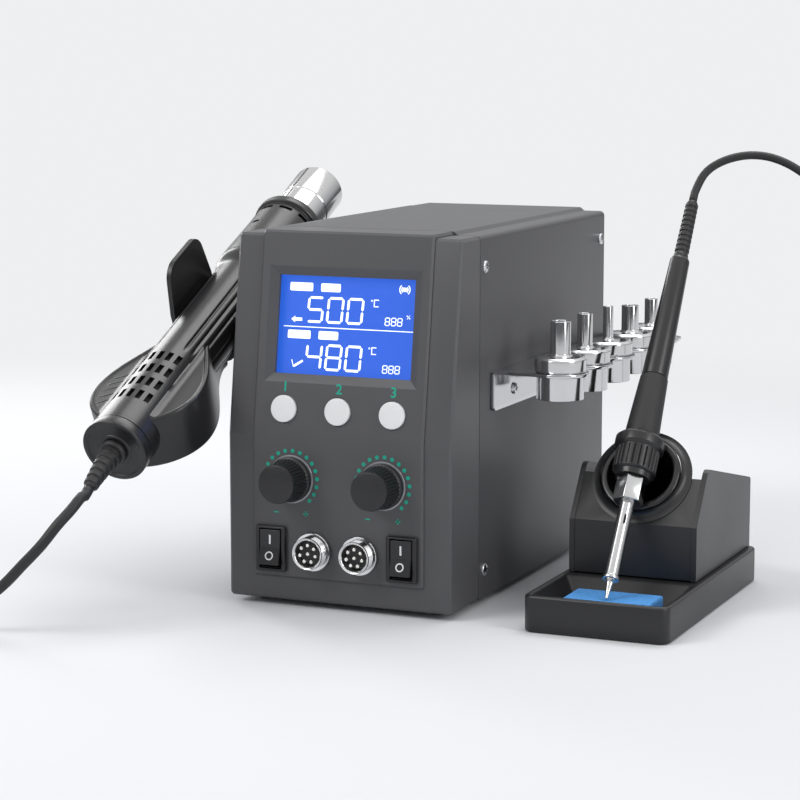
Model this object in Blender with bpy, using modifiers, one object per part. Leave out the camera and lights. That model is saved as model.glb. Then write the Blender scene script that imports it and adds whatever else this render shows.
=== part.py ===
"""Hot air rework station: cabinet, hot air gun in its cradle, nozzle rack, soldering iron on its stand.

Sizes are in millimetres and degrees, in the station's own frame: X to the right along the front,
Y from the front to the rear, Z up from the bench. The last step stands the set on the world's origin.
"""
import math

import bmesh
import bpy
from mathutils import Vector

UNIT = 0.001

# Fits
FIT = 0.3
PIECE_GAP = 0.3

# Cabinet
FOOT_HEIGHT = 3.0
CASE_WIDTH = 110.0
CASE_DEPTH = 208.9
CASE_HEIGHT = 166.6
PLATEAU_RISE = 1.7
PLATEAU_WIDTH = 84.2
SHOULDER = 2.0
KINK_HEIGHT = 75.7
LEAN = 8.1
PANEL_STEP = 1.5
PANEL_FOOT = 10.6
BEZEL_DEPTH = 35.8
PLASTIC = 2.5
SHEET = 1.2
FOOT_RADIUS = 6.0
FOOT_INSET = 12.0

# Screen and buttons, measured along the leaning panel from the kink
SCREEN_WIDTH = 67.0
SCREEN_HEIGHT = 44.6
SCREEN_MIDDLE = 51.2
SCREEN_FRAME = 4.0
SCREEN_FRAME_DEPTH = 2.2
WINDOW_THICKNESS = 1.5
WINDOW_LAP = 2.5
MODULE_LAP = 4.5
MODULE_DEPTH = 4.0
BOARD_THICKNESS = 1.6
BOARD_SIDE = 7.0
BOARD_FOOT = 4.0
BOARD_HEIGHT = 76.0
BUTTON_PITCH = 26.7
BUTTON_RADIUS = 6.15
BUTTON_PROUD = 1.5
BUTTON_LEVEL = 12.8
BUTTON_TRAVEL = 1.0
BUTTON_FLANGE = 1.2

# Knobs, switches and sockets, heights above the cabinet's underside
KNOB_SPACING = 45.4
KNOB_LEVEL = 56.5
KNOB_RADIUS = 10.4
KNOB_TOP_RADIUS = 8.9
KNOB_LENGTH = 16.0
KNOB_FLUTES = 16
SHAFT_RADIUS = 3.0
POT_RADIUS = 8.2
POT_DEPTH = 8.0
ROW_LEVEL = 24.0
ROCKER_SPACING = 64.8
SWITCH_WIDTH = 15.0
SWITCH_HEIGHT = 21.0
SWITCH_RIM = 1.8
SWITCH_DEPTH = 16.0
ROCKER_WIDTH = 10.2
ROCKER_HEIGHT = 16.2
ROCKER_SWING = 8.0
SOCKET_SPACING = 23.0
SOCKET_FLANGE_RADIUS = 8.85
SOCKET_RADIUS = 7.4
SOCKET_BORE = 6.1
SOCKET_LENGTH = 7.4
SOCKET_COLLAR = 2.0
PIN_COUNT = 7
PIN_CIRCLE = 3.9
PIN_RADIUS = 0.75

# Rear wall: vents and mains inlet
VENT_ROWS = 6
VENT_LENGTH = 30.0
VENT_WIDTH = 3.0
VENT_PITCH = 10.0
VENT_LEVEL = 80.0
VENT_SPREAD = 24.0
FLOOR_FLANGE = 12.0
INLET_WIDTH = 48.0
INLET_HEIGHT = 28.0
INLET_LEVEL = 30.0
INLET_PLATE = 3.0
INLET_LUG = 7.0
INLET_RIM = 3.0
INLET_BODY = 20.0
INLET_MOUTH_WIDTH = 24.0
INLET_MOUTH_HEIGHT = 16.0
INLET_MOUTH_CORNER = 4.0
INLET_MOUTH_DEPTH = 14.0
INLET_PIN_SPREAD = 7.0

# Transformer and lower board
TRANSFORMER_SIDE = 3.0
TRANSFORMER_REAR = 26.9
CORE_WIDTH = 60.0
CORE_DEPTH = 34.0
CORE_HEIGHT = 50.0
WINDING_WIDTH = 40.0
WINDING_DEPTH = 54.0
WINDING_EDGE = 8.0
EAR_WIDTH = 72.0
EAR_DEPTH = 30.0
EAR_SHEET = 2.0
BOARD_GAP = 4.0
BOARD_START = 46.0
BOARD_LIFT = 5.0
POST_RADIUS = 2.5
POST_INSET = 5.0
SINK_WIDTH = 31.6
SINK_HEIGHT = 30.0
SINK_SHARE = 0.36
SINK_FINS = 5
FIN_THICKNESS = 1.6
RELAY_SIDE = 20.0
RELAY_HEIGHT = 16.0
CONNECTOR_WIDTH = 8.0
CONNECTOR_HEIGHT = 9.0
CONNECTOR_SHARE = 0.64
CAN_RADIUS = 6.5
CAN_HEIGHT = 22.0
CAN_PITCH = 17.0

# Nozzle rack on the right wall
SHELF_LEVEL = 107.0
SHELF_SHEET = 1.6
SHELF_FRONT = 49.0
SHELF_REAR = 213.0
FLANGE_HEIGHT = 18.6
NOZZLE_OUT = 30.0
NOZZLE_FIRST = 59.5
NOZZLE_PITCH = 33.8
NOZZLE_COLLAR = 7.0
NOZZLE_SKIRT = 12.5
NOZZLE_WALL = 0.8
SPOUTS = ((4.7, 23.3), (3.6, 23.3), (2.45, 23.3), (4.2, 20.4), (3.35, 20.4))
LOBE_WEB = 2.4
LOBE_WAIST = 3.0
SHELF_TRIM = 1.5
SHELF_CORNER = 6.0
FLANGE_REAR = 4.0

# Hot air gun, along its axis from the end cap
GUN_PLACE = (-86.0, -49.0, 75.8)
GUN_TILT = 25.8
GUN_LENGTH = 239.0
MOUTH_LENGTH = 21.0
BARREL_SHOWN = 39.0
COLLAR_LENGTH = 50.0
NECK_LENGTH = 8.0
SEAT_LENGTH = 6.0
CRADLE_LENGTH = 42.0
CRADLE_GAP = 2.0
GRIP_RADIUS = 15.2
SHELL_WALL = 2.5
CAP_LENGTH = 6.0
CAP_RADIUS = 15.6
COLLAR_END = GUN_LENGTH - BARREL_SHOWN
SHELL_END = COLLAR_END - COLLAR_LENGTH
NECK_START = SHELL_END - NECK_LENGTH
CRADLE_END = NECK_START
CRADLE_START = CRADLE_END - CRADLE_LENGTH
NECK_RADIUS = 17.5
DRUM_MIDDLE = 38.0
DRUM_RADIUS = 27.0
DRUM_END = CRADLE_START - CRADLE_GAP
DRUM_END_WIDTH = 16.0
DRUM_TOP = 8.0
DRUM_BOTTOM = -17.0
CHAMBER_RADIUS = 23.5
CHAMBER_TOP = 5.5
IMPELLER_RADIUS = 20.0
BLADES = 8
MOTOR_RADIUS = 11.0
MOTOR_HEIGHT = 11.2
MOTOR_SHAFT = 1.5
SLOT_ROWS = 4
SLOT_COLUMNS = 5
SLOT_START = 24.5
SLOT_PITCH = 10.4
SLOT_ANGLE = 21.0
SLOT_LENGTH = 5.8
SLOT_WIDTH = 2.4
COLLAR_RING = 18.4
BARREL_RADIUS = 12.7
BARREL_WALL = 0.7
MOUTH_START = GUN_LENGTH - MOUTH_LENGTH
MOUTH_RADIUS = 13.2
MOUTH_BORE = 11.1
BARREL_SEAT = SHELL_END + SEAT_LENGTH
CRADLE_WALL = 2.5
EAR_HEIGHT = 31.0
CHEEK_HEIGHT = 9.0
GUN_CORD_RADIUS = 2.5
GUN_RELIEF_RIBS = 6
GUN_RELIEF_PITCH = 3.7
GUN_RELIEF_BEND = 0.003

# Iron stand
STAND_MIDDLE = 123.25
STAND_FRONT = -2.0
STAND_WIDTH = 66.5
STAND_LENGTH = 144.0
STAND_HEIGHT = 16.4
STAND_CORNER = 5.0
WELL_RIM = 2.8
WELL_LENGTH = 46.5
WELL_FLOOR = 4.0
WELL_SIDE_SLOPE = 9.0
WELL_FRONT_SLOPE = 3.0
WELL_REAR_SLOPE = 10.0
HOUSING_FRONT = 50.5
HOUSING_REAR = 139.5
HOUSING_INSET = 3.25
HOUSING_STEP = 0.4
HOUSING_KINK = 41.4
HOUSING_LEAN = 36.0
HOUSING_SLOPE = 24.5
HOUSING_FALL = 12.0
WING_RISE = 5.0
FUNNEL_TILT = 36.0
FUNNEL_Y = 60.35
FUNNEL_Z = 62.9
FUNNEL_RADIUS = 18.5
FUNNEL_RIM = 3.5
FUNNEL_TUBE = 15.0
FUNNEL_DEPTH = 34.0
SPONGE_WIDTH = 40.0
SPONGE_LENGTH = 30.0
SPONGE_THICKNESS = 8.9
SPONGE_CLEARANCE = 1.0

# Soldering iron, along its axis from the tip
IRON_LEAN = 36.1
TIP_LENGTH = 9.4
TUBE_RADIUS = 3.3
TIP_SHANK = 2.6
NUT_START = 47.4
NUT_RADIUS = 7.0
COLLAR_START = 59.3
KNURL_RADIUS = 9.9
KNURLS = 16
COLLAR_FLANGE = 11.3
COLLAR_TOP = 80.0
GRIP_TOP = 110.8
IRON_GRIP_RADIUS = 7.7
IRON_GRIP_TOP_RADIUS = 6.4
HANDLE_TOP = 175.0
HANDLE_TOP_RADIUS = 4.6
CORE_RADIUS = 4.4
RELIEF_TOP = 206.4
RELIEF_RIBS = 5
IRON_CORD_RADIUS = 2.0

# Cords: routes chosen by hand, then a coil and a plug on the bench
BENCH_CLEARANCE = 0.1
GUN_ROUTE = ((-86.2, -77.6, 60.0), (-88.0, -84.0, 55.0), (-91.5, -90.0, 49.0), (-97.0, -94.5, 40.5),
             (-106.0, -95.5, 31.3), (-116.0, -96.0, 21.5), (-129.0, -98.0, 11.5), (-143.5, -99.8, 5.0),
             (-158.0, -100.5, 2.8), (-172.0, -100.5, 2.6))
GUN_COIL = (-203.0, -72.0)
GUN_COIL_RADIUS = 31.0
IRON_ROUTE = ((126.0, 143.5, 192.5), (130.5, 147.0, 197.3), (138.0, 150.5, 200.8), (147.0, 153.5, 202.2),
              (157.0, 155.0, 200.9), (168.0, 156.0, 196.0), (178.5, 156.5, 187.5), (187.5, 156.0, 173.0),
              (193.0, 154.5, 152.0), (196.5, 152.0, 125.0), (199.0, 149.5, 95.0), (201.5, 147.0, 66.0),
              (205.0, 144.5, 40.0), (211.0, 140.5, 19.0), (219.0, 133.0, 6.0), (225.5, 122.5, 2.4))
IRON_COIL = (254.0, 92.0)
IRON_COIL_RADIUS = 28.0
COIL_LAYERS = 2
COIL_TURNS_ACROSS = 4
PLUG_RADIUS = 8.5
PLUG_LENGTH = 33.0

for old in list(bpy.data.objects):
    bpy.data.objects.remove(old, do_unlink=True)
parts = bpy.data.collections.new("hot_air_rework_station")
bpy.context.scene.collection.children.link(parts)
cutters = bpy.data.collections.new("cutters")
bpy.context.scene.collection.children.link(cutters)


def place_object(obj, place, turn, parent):
    """Put an object into the station, under its parent frame."""
    parts.objects.link(obj)
    obj.location = [c * UNIT for c in place]
    obj.rotation_euler = [math.radians(a) for a in turn]
    obj.parent = parent
    return obj


def frame(name, place=(0, 0, 0), turn=(0, 0, 0), parent=None):
    """An empty that carries a group of pieces."""
    return place_object(bpy.data.objects.new(name, None), place, turn, parent)


def mesh_object(name, bm, place, turn, parent):
    """An object from a finished bmesh."""
    mesh = bpy.data.meshes.new(name)
    bm.to_mesh(mesh)
    bm.free()
    return place_object(bpy.data.objects.new(name, mesh), place, turn, parent)


def blocks(name, spans, parent=None, place=(0, 0, 0), turn=(0, 0, 0)):
    """Boxes, each from its low corner to its high corner."""
    bm = bmesh.new()
    for low, high in spans:
        made = bmesh.ops.create_cube(bm, size=1.0)
        for v in made["verts"]:
            v.co = Vector([(low[i] + (high[i] - low[i]) * (v.co[i] + 0.5)) * UNIT for i in range(3)])
    return mesh_object(name, bm, place, turn, parent)


def tapered_block(name, start, end, axis, parent=None):
    """A block between two rectangles across an axis, each from its low corner to its high corner."""
    bm = bmesh.new()
    bmesh.ops.create_cube(bm, size=1.0)
    for v in bm.verts:
        low, high = end if v.co[axis] > 0 else start
        v.co = Vector([(high[i] if v.co[i] > 0 else low[i]) * UNIT for i in range(3)])
    return mesh_object(name, bm, (0, 0, 0), (0, 0, 0), parent)


def rods(name, centres, radius, low, high, parent=None, place=(0, 0, 0), turn=(0, 0, 0), segments=12):
    """Upright cylinders on the given centres, from low to high."""
    bm = bmesh.new()
    for x, y in centres:
        made = bmesh.ops.create_cone(bm, cap_ends=True, segments=segments, radius1=radius * UNIT,
                                     radius2=radius * UNIT, depth=(high - low) * UNIT)
        bmesh.ops.translate(bm, verts=made["verts"], vec=Vector((x, y, (low + high) / 2)) * UNIT)
    return mesh_object(name, bm, place, turn, parent)


def turned(name, profile, place=(0, 0, 0), turn=(0, 0, 0), parent=None, segments=32, loop=False):
    """A turned piece from its radius and height profile, outer side first, from top to bottom."""
    mesh = bpy.data.meshes.new(name)
    edges = [(i, i + 1) for i in range(len(profile) - 1)]
    if loop:
        edges.append((len(profile) - 1, 0))
    mesh.from_pydata([(r * UNIT, 0, z * UNIT) for r, z in profile], edges, [])
    obj = place_object(bpy.data.objects.new(name, mesh), place, turn, parent)
    screw = obj.modifiers.new("Screw", "SCREW")
    screw.steps = screw.render_steps = segments
    screw.use_merge_vertices = True
    screw.merge_threshold = 0.00001
    return obj


def rounded(points, radius, steps=3):
    """An outline with each corner turned into an arc; radius is one value or one for each corner."""
    outline = []
    count = len(points)
    for i, corner in enumerate(points):
        r = radius[i] if isinstance(radius, (list, tuple)) else radius
        p = Vector(corner)
        if r <= 0:
            outline.append(tuple(p))
            continue
        to_last = (Vector(points[i - 1]) - p).normalized()
        to_next = (Vector(points[(i + 1) % count]) - p).normalized()
        half = to_last.angle(to_next) / 2
        middle = p + (to_last + to_next).normalized() * (r / math.sin(half))
        reach = r / math.tan(half)
        first = p + to_last * reach - middle
        last = p + to_next * reach - middle
        start = math.atan2(first.y, first.x)
        sweep = math.remainder(math.atan2(last.y, last.x) - start, 2 * math.pi)
        for k in range(steps + 1):
            a = start + sweep * k / steps
            outline.append((middle.x + r * math.cos(a), middle.y + r * math.sin(a)))
    return outline


def rectangle(low, high, radius=0.0, steps=3):
    """A rectangle outline with rounded corners."""
    corners = [low, (high[0], low[1]), high, (low[0], high[1])]
    return rounded(corners, radius, steps)


def circle(centre, radius, segments=24):
    """A round outline."""
    turns = [2 * math.pi * k / segments for k in range(segments)]
    return [(centre[0] + radius * math.cos(a), centre[1] + radius * math.sin(a)) for a in turns]


def welded(curve_object):
    """The closed mesh of a curve object, which is removed."""
    bpy.context.view_layer.update()
    depsgraph = bpy.context.evaluated_depsgraph_get()
    mesh = bpy.data.meshes.new_from_object(curve_object.evaluated_get(depsgraph))
    bpy.data.objects.remove(curve_object, do_unlink=True)
    bm = bmesh.new()
    bm.from_mesh(mesh)
    bmesh.ops.remove_doubles(bm, verts=bm.verts, dist=0.000001)
    bm.to_mesh(mesh)
    bm.free()
    return mesh


def plate(name, outlines, thickness, place=(0, 0, 0), turn=(0, 0, 0), parent=None):
    """A flat piece: the first outline with the others as holes, from local height 0 to its thickness."""
    curve = bpy.data.curves.new(name, "CURVE")
    curve.dimensions = "2D"
    curve.fill_mode = "BOTH"
    curve.extrude = thickness * UNIT / 2
    for outline in outlines:
        spline = curve.splines.new("POLY")
        spline.points.add(len(outline) - 1)
        spline.use_cyclic_u = True
        for point, (x, y) in zip(spline.points, outline):
            point.co = (x * UNIT, y * UNIT, 0, 1)
    temporary = bpy.data.objects.new(name, curve)
    bpy.context.scene.collection.objects.link(temporary)
    mesh = welded(temporary)
    for v in mesh.vertices:
        v.co.z += thickness * UNIT / 2
    mesh.name = name
    return place_object(bpy.data.objects.new(name, mesh), place, turn, parent)


def tube(name, points, radius, parent=None, sizes=None, resolution=2):
    """A round tube with closed ends along points; sizes gives its radius at each point, as a share."""
    curve = bpy.data.curves.new(name, "CURVE")
    curve.dimensions = "3D"
    curve.bevel_depth = radius * UNIT
    curve.bevel_resolution = resolution
    curve.use_fill_caps = True
    spline = curve.splines.new("POLY")
    spline.points.add(len(points) - 1)
    for i, point in enumerate(points):
        spline.points[i].co = (*(c * UNIT for c in point), 1)
        if sizes:
            spline.points[i].radius = sizes[i]
    temporary = bpy.data.objects.new(name, curve)
    bpy.context.scene.collection.objects.link(temporary)
    mesh = welded(temporary)
    mesh.name = name
    return place_object(bpy.data.objects.new(name, mesh), (0, 0, 0), (0, 0, 0), parent)


def combine(obj, others, operation):
    """Cut or join other solids into an object."""
    for other in others:
        modifier = obj.modifiers.new(operation.title(), "BOOLEAN")
        modifier.operation = operation
        modifier.solver = "EXACT"
        modifier.object = other
        parts.objects.unlink(other)
        cutters.objects.link(other)
        other.hide_render = True
        other.display_type = "WIRE"
    return obj


def cut(obj, *others):
    """Take other solids out of an object."""
    return combine(obj, others, "DIFFERENCE")


def join(obj, *others):
    """Fuse other solids with an object."""
    return combine(obj, others, "UNION")


def bevel(obj, width, segments=2, angle=30.0):
    """Round the sharp edges of an object."""
    modifier = obj.modifiers.new("Bevel", "BEVEL")
    modifier.width = width * UNIT
    modifier.segments = segments
    modifier.limit_method = "ANGLE"
    modifier.angle_limit = math.radians(angle)
    modifier.harden_normals = False
    return obj


def finish(obj, colour, roughness, metallic=0.0, alpha=1.0):
    """Give a piece its own material."""
    material = bpy.data.materials.new(obj.name)
    material.use_nodes = True
    shader = material.node_tree.nodes["Principled BSDF"]
    shader.inputs["Base Color"].default_value = (*colour, 1.0)
    shader.inputs["Roughness"].default_value = roughness
    shader.inputs["Metallic"].default_value = metallic
    shader.inputs["Alpha"].default_value = alpha
    obj["finish"] = material.name
    return obj


# Colours
DARK_GREY = (0.075, 0.075, 0.08)
BLACK = (0.02, 0.02, 0.022)
STEEL = (0.62, 0.63, 0.65)
TEAL_BOARD = (0.02, 0.16, 0.09)

# Places worked out from the sizes above
HALF = CASE_WIDTH / 2
PANEL_HALF = PLATEAU_WIDTH / 2
UNDERSIDE = FOOT_HEIGHT
TOP = UNDERSIDE + CASE_HEIGHT
KINK = UNDERSIDE + KINK_HEIGHT
PANEL_THICKNESS = PLASTIC + PANEL_STEP
BOARD_WIDTH = CASE_WIDTH - 2 * BOARD_SIDE
HOUSING_HALF = STAND_WIDTH / 2 - HOUSING_INSET
BOARD_FRONT = PANEL_THICKNESS + FIT + WINDOW_THICKNESS + FIT + MODULE_DEPTH + FIT
FRONT_TURN = (90, 0, 0)
SIDE_TURN = (90, 0, 90)
ALONG_TURN = (-90, 0, 0)
SKIRT_RADIUS = MOUTH_BORE - FIT
RACK_HOLE = SKIRT_RADIUS + FIT
LOBE_RADIUS = RACK_HOLE + LOBE_WEB


def leaning_y(height):
    """How far back the front panel's face lies at a height, from the kink."""
    return max(0.0, height - KINK) * math.tan(math.radians(LEAN))


station = frame("station")
panel = frame("leaning_panel", (0, 0, KINK), (-LEAN, 0, 0), station)
lower = frame("lower_panel", (0, 0, UNDERSIDE), (0, 0, 0), station)
gun_rest = frame("gun_rest", GUN_PLACE, (GUN_TILT, 0, 0), station)
gun = frame("gun", (0, 0, 0), (0, 0, 0), gun_rest)


def side_profile(front, foot, top, rear):
    """The bezel's outline seen from the side, between its front face and its rear edge."""
    return [(front, foot), (front, KINK), (front + leaning_y(top), top), (rear, top), (rear, foot)][::-1]


def make_bezel():
    """Moulded front: a shell with a raised middle panel, its cut-outs and the board's bosses."""
    bezel = plate("front_bezel", [side_profile(PANEL_STEP, UNDERSIDE, TOP, BEZEL_DEPTH)], CASE_WIDTH,
                  (-HALF, 0, 0), SIDE_TURN, station)
    bevel(bezel, 1.2, 1, 50)
    middle = plate("bezel_middle", [side_profile(0, UNDERSIDE + PANEL_FOOT, TOP + PLATEAU_RISE, BEZEL_DEPTH)],
                   PLATEAU_WIDTH, (-PANEL_HALF, 0, 0), SIDE_TURN, station)
    bevel(middle, 1.0, 1, 50)
    inside = plate("bezel_inside", [side_profile(PANEL_THICKNESS, UNDERSIDE + PLASTIC, TOP - PLASTIC,
                                                 BEZEL_DEPTH + 5)],
                   CASE_WIDTH - 2 * PLASTIC, (-HALF + PLASTIC, 0, 0), SIDE_TURN, station)
    join(bezel, middle)
    cut(bezel, inside)
    half_w = SCREEN_WIDTH / 2
    low = SCREEN_MIDDLE - SCREEN_HEIGHT / 2
    high = SCREEN_MIDDLE + SCREEN_HEIGHT / 2
    screen = blocks("screen_hole", [((-half_w, -5, low), (half_w, PANEL_THICKNESS + 2, high))], panel)
    slope = SCREEN_FRAME / SCREEN_FRAME_DEPTH
    proud = 1.0
    reach = SCREEN_FRAME + proud * slope
    recess = tapered_block("screen_frame",
                           ((-half_w - reach, -proud, low - reach), (half_w + reach, -proud, high + reach)),
                           ((-half_w, SCREEN_FRAME_DEPTH, low), (half_w, SCREEN_FRAME_DEPTH, high)), 1, panel)
    buttons = rods("button_holes", [((i - 1) * BUTTON_PITCH, BUTTON_LEVEL) for i in range(3)],
                   BUTTON_RADIUS + FIT, -5, 5, panel, (0, 0, 0), FRONT_TURN, 20)
    half_k = KNOB_SPACING / 2
    shafts = rods("bushing_holes", [(-half_k, KNOB_LEVEL), (half_k, KNOB_LEVEL)], SHAFT_RADIUS + 0.8, -8, 5,
                  lower, (0, 0, 0), FRONT_TURN, 16)
    half_s = SOCKET_SPACING / 2
    sockets = rods("socket_holes", [(-half_s, ROW_LEVEL), (half_s, ROW_LEVEL)], SOCKET_RADIUS + 0.3 + FIT,
                   -8, 5, lower, (0, 0, 0), FRONT_TURN, 20)
    half_r = ROCKER_SPACING / 2
    hole_w = SWITCH_WIDTH / 2 - 0.75
    hole_h = SWITCH_HEIGHT / 2 - 0.6
    switches = blocks("switch_holes", [((side * half_r - hole_w, -5, ROW_LEVEL - hole_h),
                                        (side * half_r + hole_w, 8, ROW_LEVEL + hole_h)) for side in (-1, 1)],
                      lower)
    cut(bezel, screen, recess, buttons, shafts, sockets, switches)
    boss_x = BOARD_WIDTH / 2 - 3
    bosses = rods("board_bosses", [(x, z) for x in (-boss_x, boss_x)
                                   for z in (BOARD_FOOT + 4, BOARD_FOOT + BOARD_HEIGHT - 4)],
                  3.0, -(BOARD_FRONT - FIT), -(PANEL_THICKNESS - 1.2), panel, (0, 0, 0), FRONT_TURN, 10)
    join(bezel, bosses)
    finish(bezel, DARK_GREY, 0.45)


def cover_outline(inset):
    """Half of the folded cover's cross-section, inset from its outer face, from bottom to plateau."""
    step = 0.4 * inset
    return [(HALF - inset, UNDERSIDE), (HALF - inset, TOP - inset), (PANEL_HALF + SHOULDER - step, TOP - inset),
            (PANEL_HALF - step, TOP + PLATEAU_RISE - inset)]


def make_cover():
    """Folded steel cover: both sides and the top with its raised middle."""
    outer = cover_outline(0)
    inner = cover_outline(SHEET)
    right = rounded(outer + [(0, TOP)], [0, 2.0, 1.0, 1.0, 0])[:-1]
    right_inner = rounded(inner + [(0, TOP)], [0, 2.0 - SHEET, 0.6, 0.6, 0])[:-1]
    outline = right + [(-x, z) for x, z in reversed(right)]
    hollow = right_inner + [(-x, z) for x, z in reversed(right_inner)]
    cover = plate("cover", [outline + hollow[::-1]], CASE_DEPTH - BEZEL_DEPTH - PIECE_GAP,
                  (0, CASE_DEPTH, 0), FRONT_TURN, station)
    finish(cover, DARK_GREY, 0.5, 0.3)


def make_chassis():
    """Folded floor with side flanges and the rear wall with its vents and the inlet's cut-out."""
    inset = SHEET + FIT
    rear = CASE_DEPTH - SHEET
    inside = cover_outline(inset)
    wall = inside + [(-x, z) for x, z in reversed(inside)]
    vents = []
    for side in (-1, 1):
        for row in range(VENT_ROWS):
            x = side * VENT_SPREAD
            z = UNDERSIDE + VENT_LEVEL + row * VENT_PITCH
            vents.append(rectangle((x - VENT_LENGTH / 2, z - VENT_WIDTH / 2),
                                   (x + VENT_LENGTH / 2, z + VENT_WIDTH / 2)))
    half_w = INLET_WIDTH / 2 - INLET_LUG
    half_h = INLET_HEIGHT / 2 - INLET_RIM
    level = UNDERSIDE + INLET_LEVEL
    vents.append(rectangle((-half_w, level - half_h), (half_w, level + half_h)))
    chassis = plate("chassis", [wall] + vents, SHEET, (0, rear, 0), FRONT_TURN, station)
    edge = HALF - inset
    front = BEZEL_DEPTH + PIECE_GAP
    floor = blocks("chassis_floor", [((-edge, front, UNDERSIDE), (edge, rear - SHEET / 2, UNDERSIDE + SHEET))],
                   station)
    flanges = blocks("chassis_flanges", [((side * edge - (SHEET if side > 0 else 0), front, UNDERSIDE + SHEET / 2),
                                          (side * edge + (SHEET if side < 0 else 0), rear - SHEET / 2,
                                           UNDERSIDE + FLOOR_FLANGE)) for side in (-1, 1)],
                     station)
    join(chassis, floor, flanges)
    finish(chassis, (0.5, 0.5, 0.52), 0.4, 0.9)


def make_feet():
    """Four rubber feet under the corners."""
    reach = HALF - FOOT_INSET
    places = [(x, y) for y in (FOOT_INSET + 6, CASE_DEPTH - FOOT_INSET) for x in (-reach, reach)]
    for number, (x, y) in enumerate(places, 1):
        height = FOOT_HEIGHT - PIECE_GAP
        foot = turned(f"foot_{number}", [(0, height), (FOOT_RADIUS, height), (FOOT_RADIUS - 0.8, 0), (0, 0)],
                      (x, y, 0), (0, 0, 0), station, 16)
        finish(foot, BLACK, 0.8)


def make_screen():
    """Clear window, display module and the upright board with its button switches."""
    half_w = SCREEN_WIDTH / 2
    low = SCREEN_MIDDLE - SCREEN_HEIGHT / 2
    high = SCREEN_MIDDLE + SCREEN_HEIGHT / 2
    y = PANEL_THICKNESS + FIT
    window = blocks("lcd_window", [((-half_w - WINDOW_LAP, y, low - WINDOW_LAP),
                                    (half_w + WINDOW_LAP, y + WINDOW_THICKNESS, high + WINDOW_LAP))], panel)
    finish(window, (0.9, 0.95, 1.0), 0.05, 0.0, 0.3)
    y += WINDOW_THICKNESS + FIT
    module = blocks("lcd_module", [((-half_w - MODULE_LAP, y, low - MODULE_LAP),
                                    (half_w + MODULE_LAP, y + MODULE_DEPTH, high + MODULE_LAP))], panel)
    bevel(module, 0.6, 1)
    finish(module, (0.03, 0.1, 0.75), 0.2)
    board = blocks("display_board", [((-BOARD_WIDTH / 2, BOARD_FRONT, BOARD_FOOT),
                                      (BOARD_WIDTH / 2, BOARD_FRONT + BOARD_THICKNESS,
                                       BOARD_FOOT + BOARD_HEIGHT))], panel)
    flange_rear = PANEL_THICKNESS + FIT + BUTTON_FLANGE
    switch_front = flange_rear + BUTTON_TRAVEL + FIT
    switches = blocks("button_switches", [((x - 3, switch_front, BUTTON_LEVEL - 3),
                                           (x + 3, BOARD_FRONT + 0.5, BUTTON_LEVEL + 3))
                                          for x in (-BUTTON_PITCH, 0, BUTTON_PITCH)], panel)
    join(board, switches)
    finish(board, TEAL_BOARD, 0.5)


def make_buttons():
    """Three round push buttons with a flange behind the panel."""
    flange_front = PANEL_THICKNESS + FIT
    flange_rear = flange_front + BUTTON_FLANGE
    for number in range(3):
        profile = [(0, BUTTON_PROUD), (BUTTON_RADIUS - 0.5, BUTTON_PROUD), (BUTTON_RADIUS, BUTTON_PROUD - 0.5),
                   (BUTTON_RADIUS, -flange_front), (BUTTON_RADIUS + 1.3, -flange_front),
                   (BUTTON_RADIUS + 1.3, -flange_rear), (0, -flange_rear)]
        button = turned(f"button_{number + 1}", profile, ((number - 1) * BUTTON_PITCH, 0, BUTTON_LEVEL),
                        FRONT_TURN, panel, 20)
        finish(button, (0.85, 0.86, 0.87), 0.35)


def make_knobs():
    """Two fluted knobs on the shafts of their potentiometers."""
    for side, name in ((-1, "air"), (1, "heat")):
        axis = (side * KNOB_SPACING / 2, 0, KNOB_LEVEL)
        tip = KNOB_LENGTH - 3.0
        pot = turned(f"{name}_pot", [(0, tip - FIT), (SHAFT_RADIUS, tip - FIT), (SHAFT_RADIUS, 4.5),
                                     (SHAFT_RADIUS + 0.5, 4.5), (SHAFT_RADIUS + 0.5, -PANEL_THICKNESS - FIT),
                                     (POT_RADIUS, -PANEL_THICKNESS - FIT),
                                     (POT_RADIUS, -PANEL_THICKNESS - FIT - POT_DEPTH),
                                     (0, -PANEL_THICKNESS - FIT - POT_DEPTH)], axis, FRONT_TURN, lower, 16)
        finish(pot, (0.55, 0.5, 0.4), 0.4, 0.8)
        bottom = 0.4
        knob = turned(f"{name}_knob", [(0, KNOB_LENGTH), (KNOB_TOP_RADIUS - 1.0, KNOB_LENGTH),
                                       (KNOB_TOP_RADIUS, KNOB_LENGTH - 0.8), (KNOB_RADIUS - 0.9, bottom + 2.6),
                                       (KNOB_RADIUS, bottom + 2.2), (KNOB_RADIUS, bottom),
                                       (SHAFT_RADIUS + 2.4, bottom), (SHAFT_RADIUS + 2.4, 5.0),
                                       (SHAFT_RADIUS + FIT, 5.0), (SHAFT_RADIUS + FIT, tip), (0, tip)],
                      axis, FRONT_TURN, lower, 32)
        turns = [2 * math.pi * (k + 0.5) / KNOB_FLUTES for k in range(KNOB_FLUTES)]
        reach = KNOB_RADIUS - 0.2
        flutes = rods(f"{name}_flutes", [(reach * math.cos(a), reach * math.sin(a)) for a in turns], 1.0,
                      bottom + 3.2, KNOB_LENGTH + 2, lower, axis, FRONT_TURN, 4)
        cut(knob, flutes)
        finish(knob, BLACK, 0.5)


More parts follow.
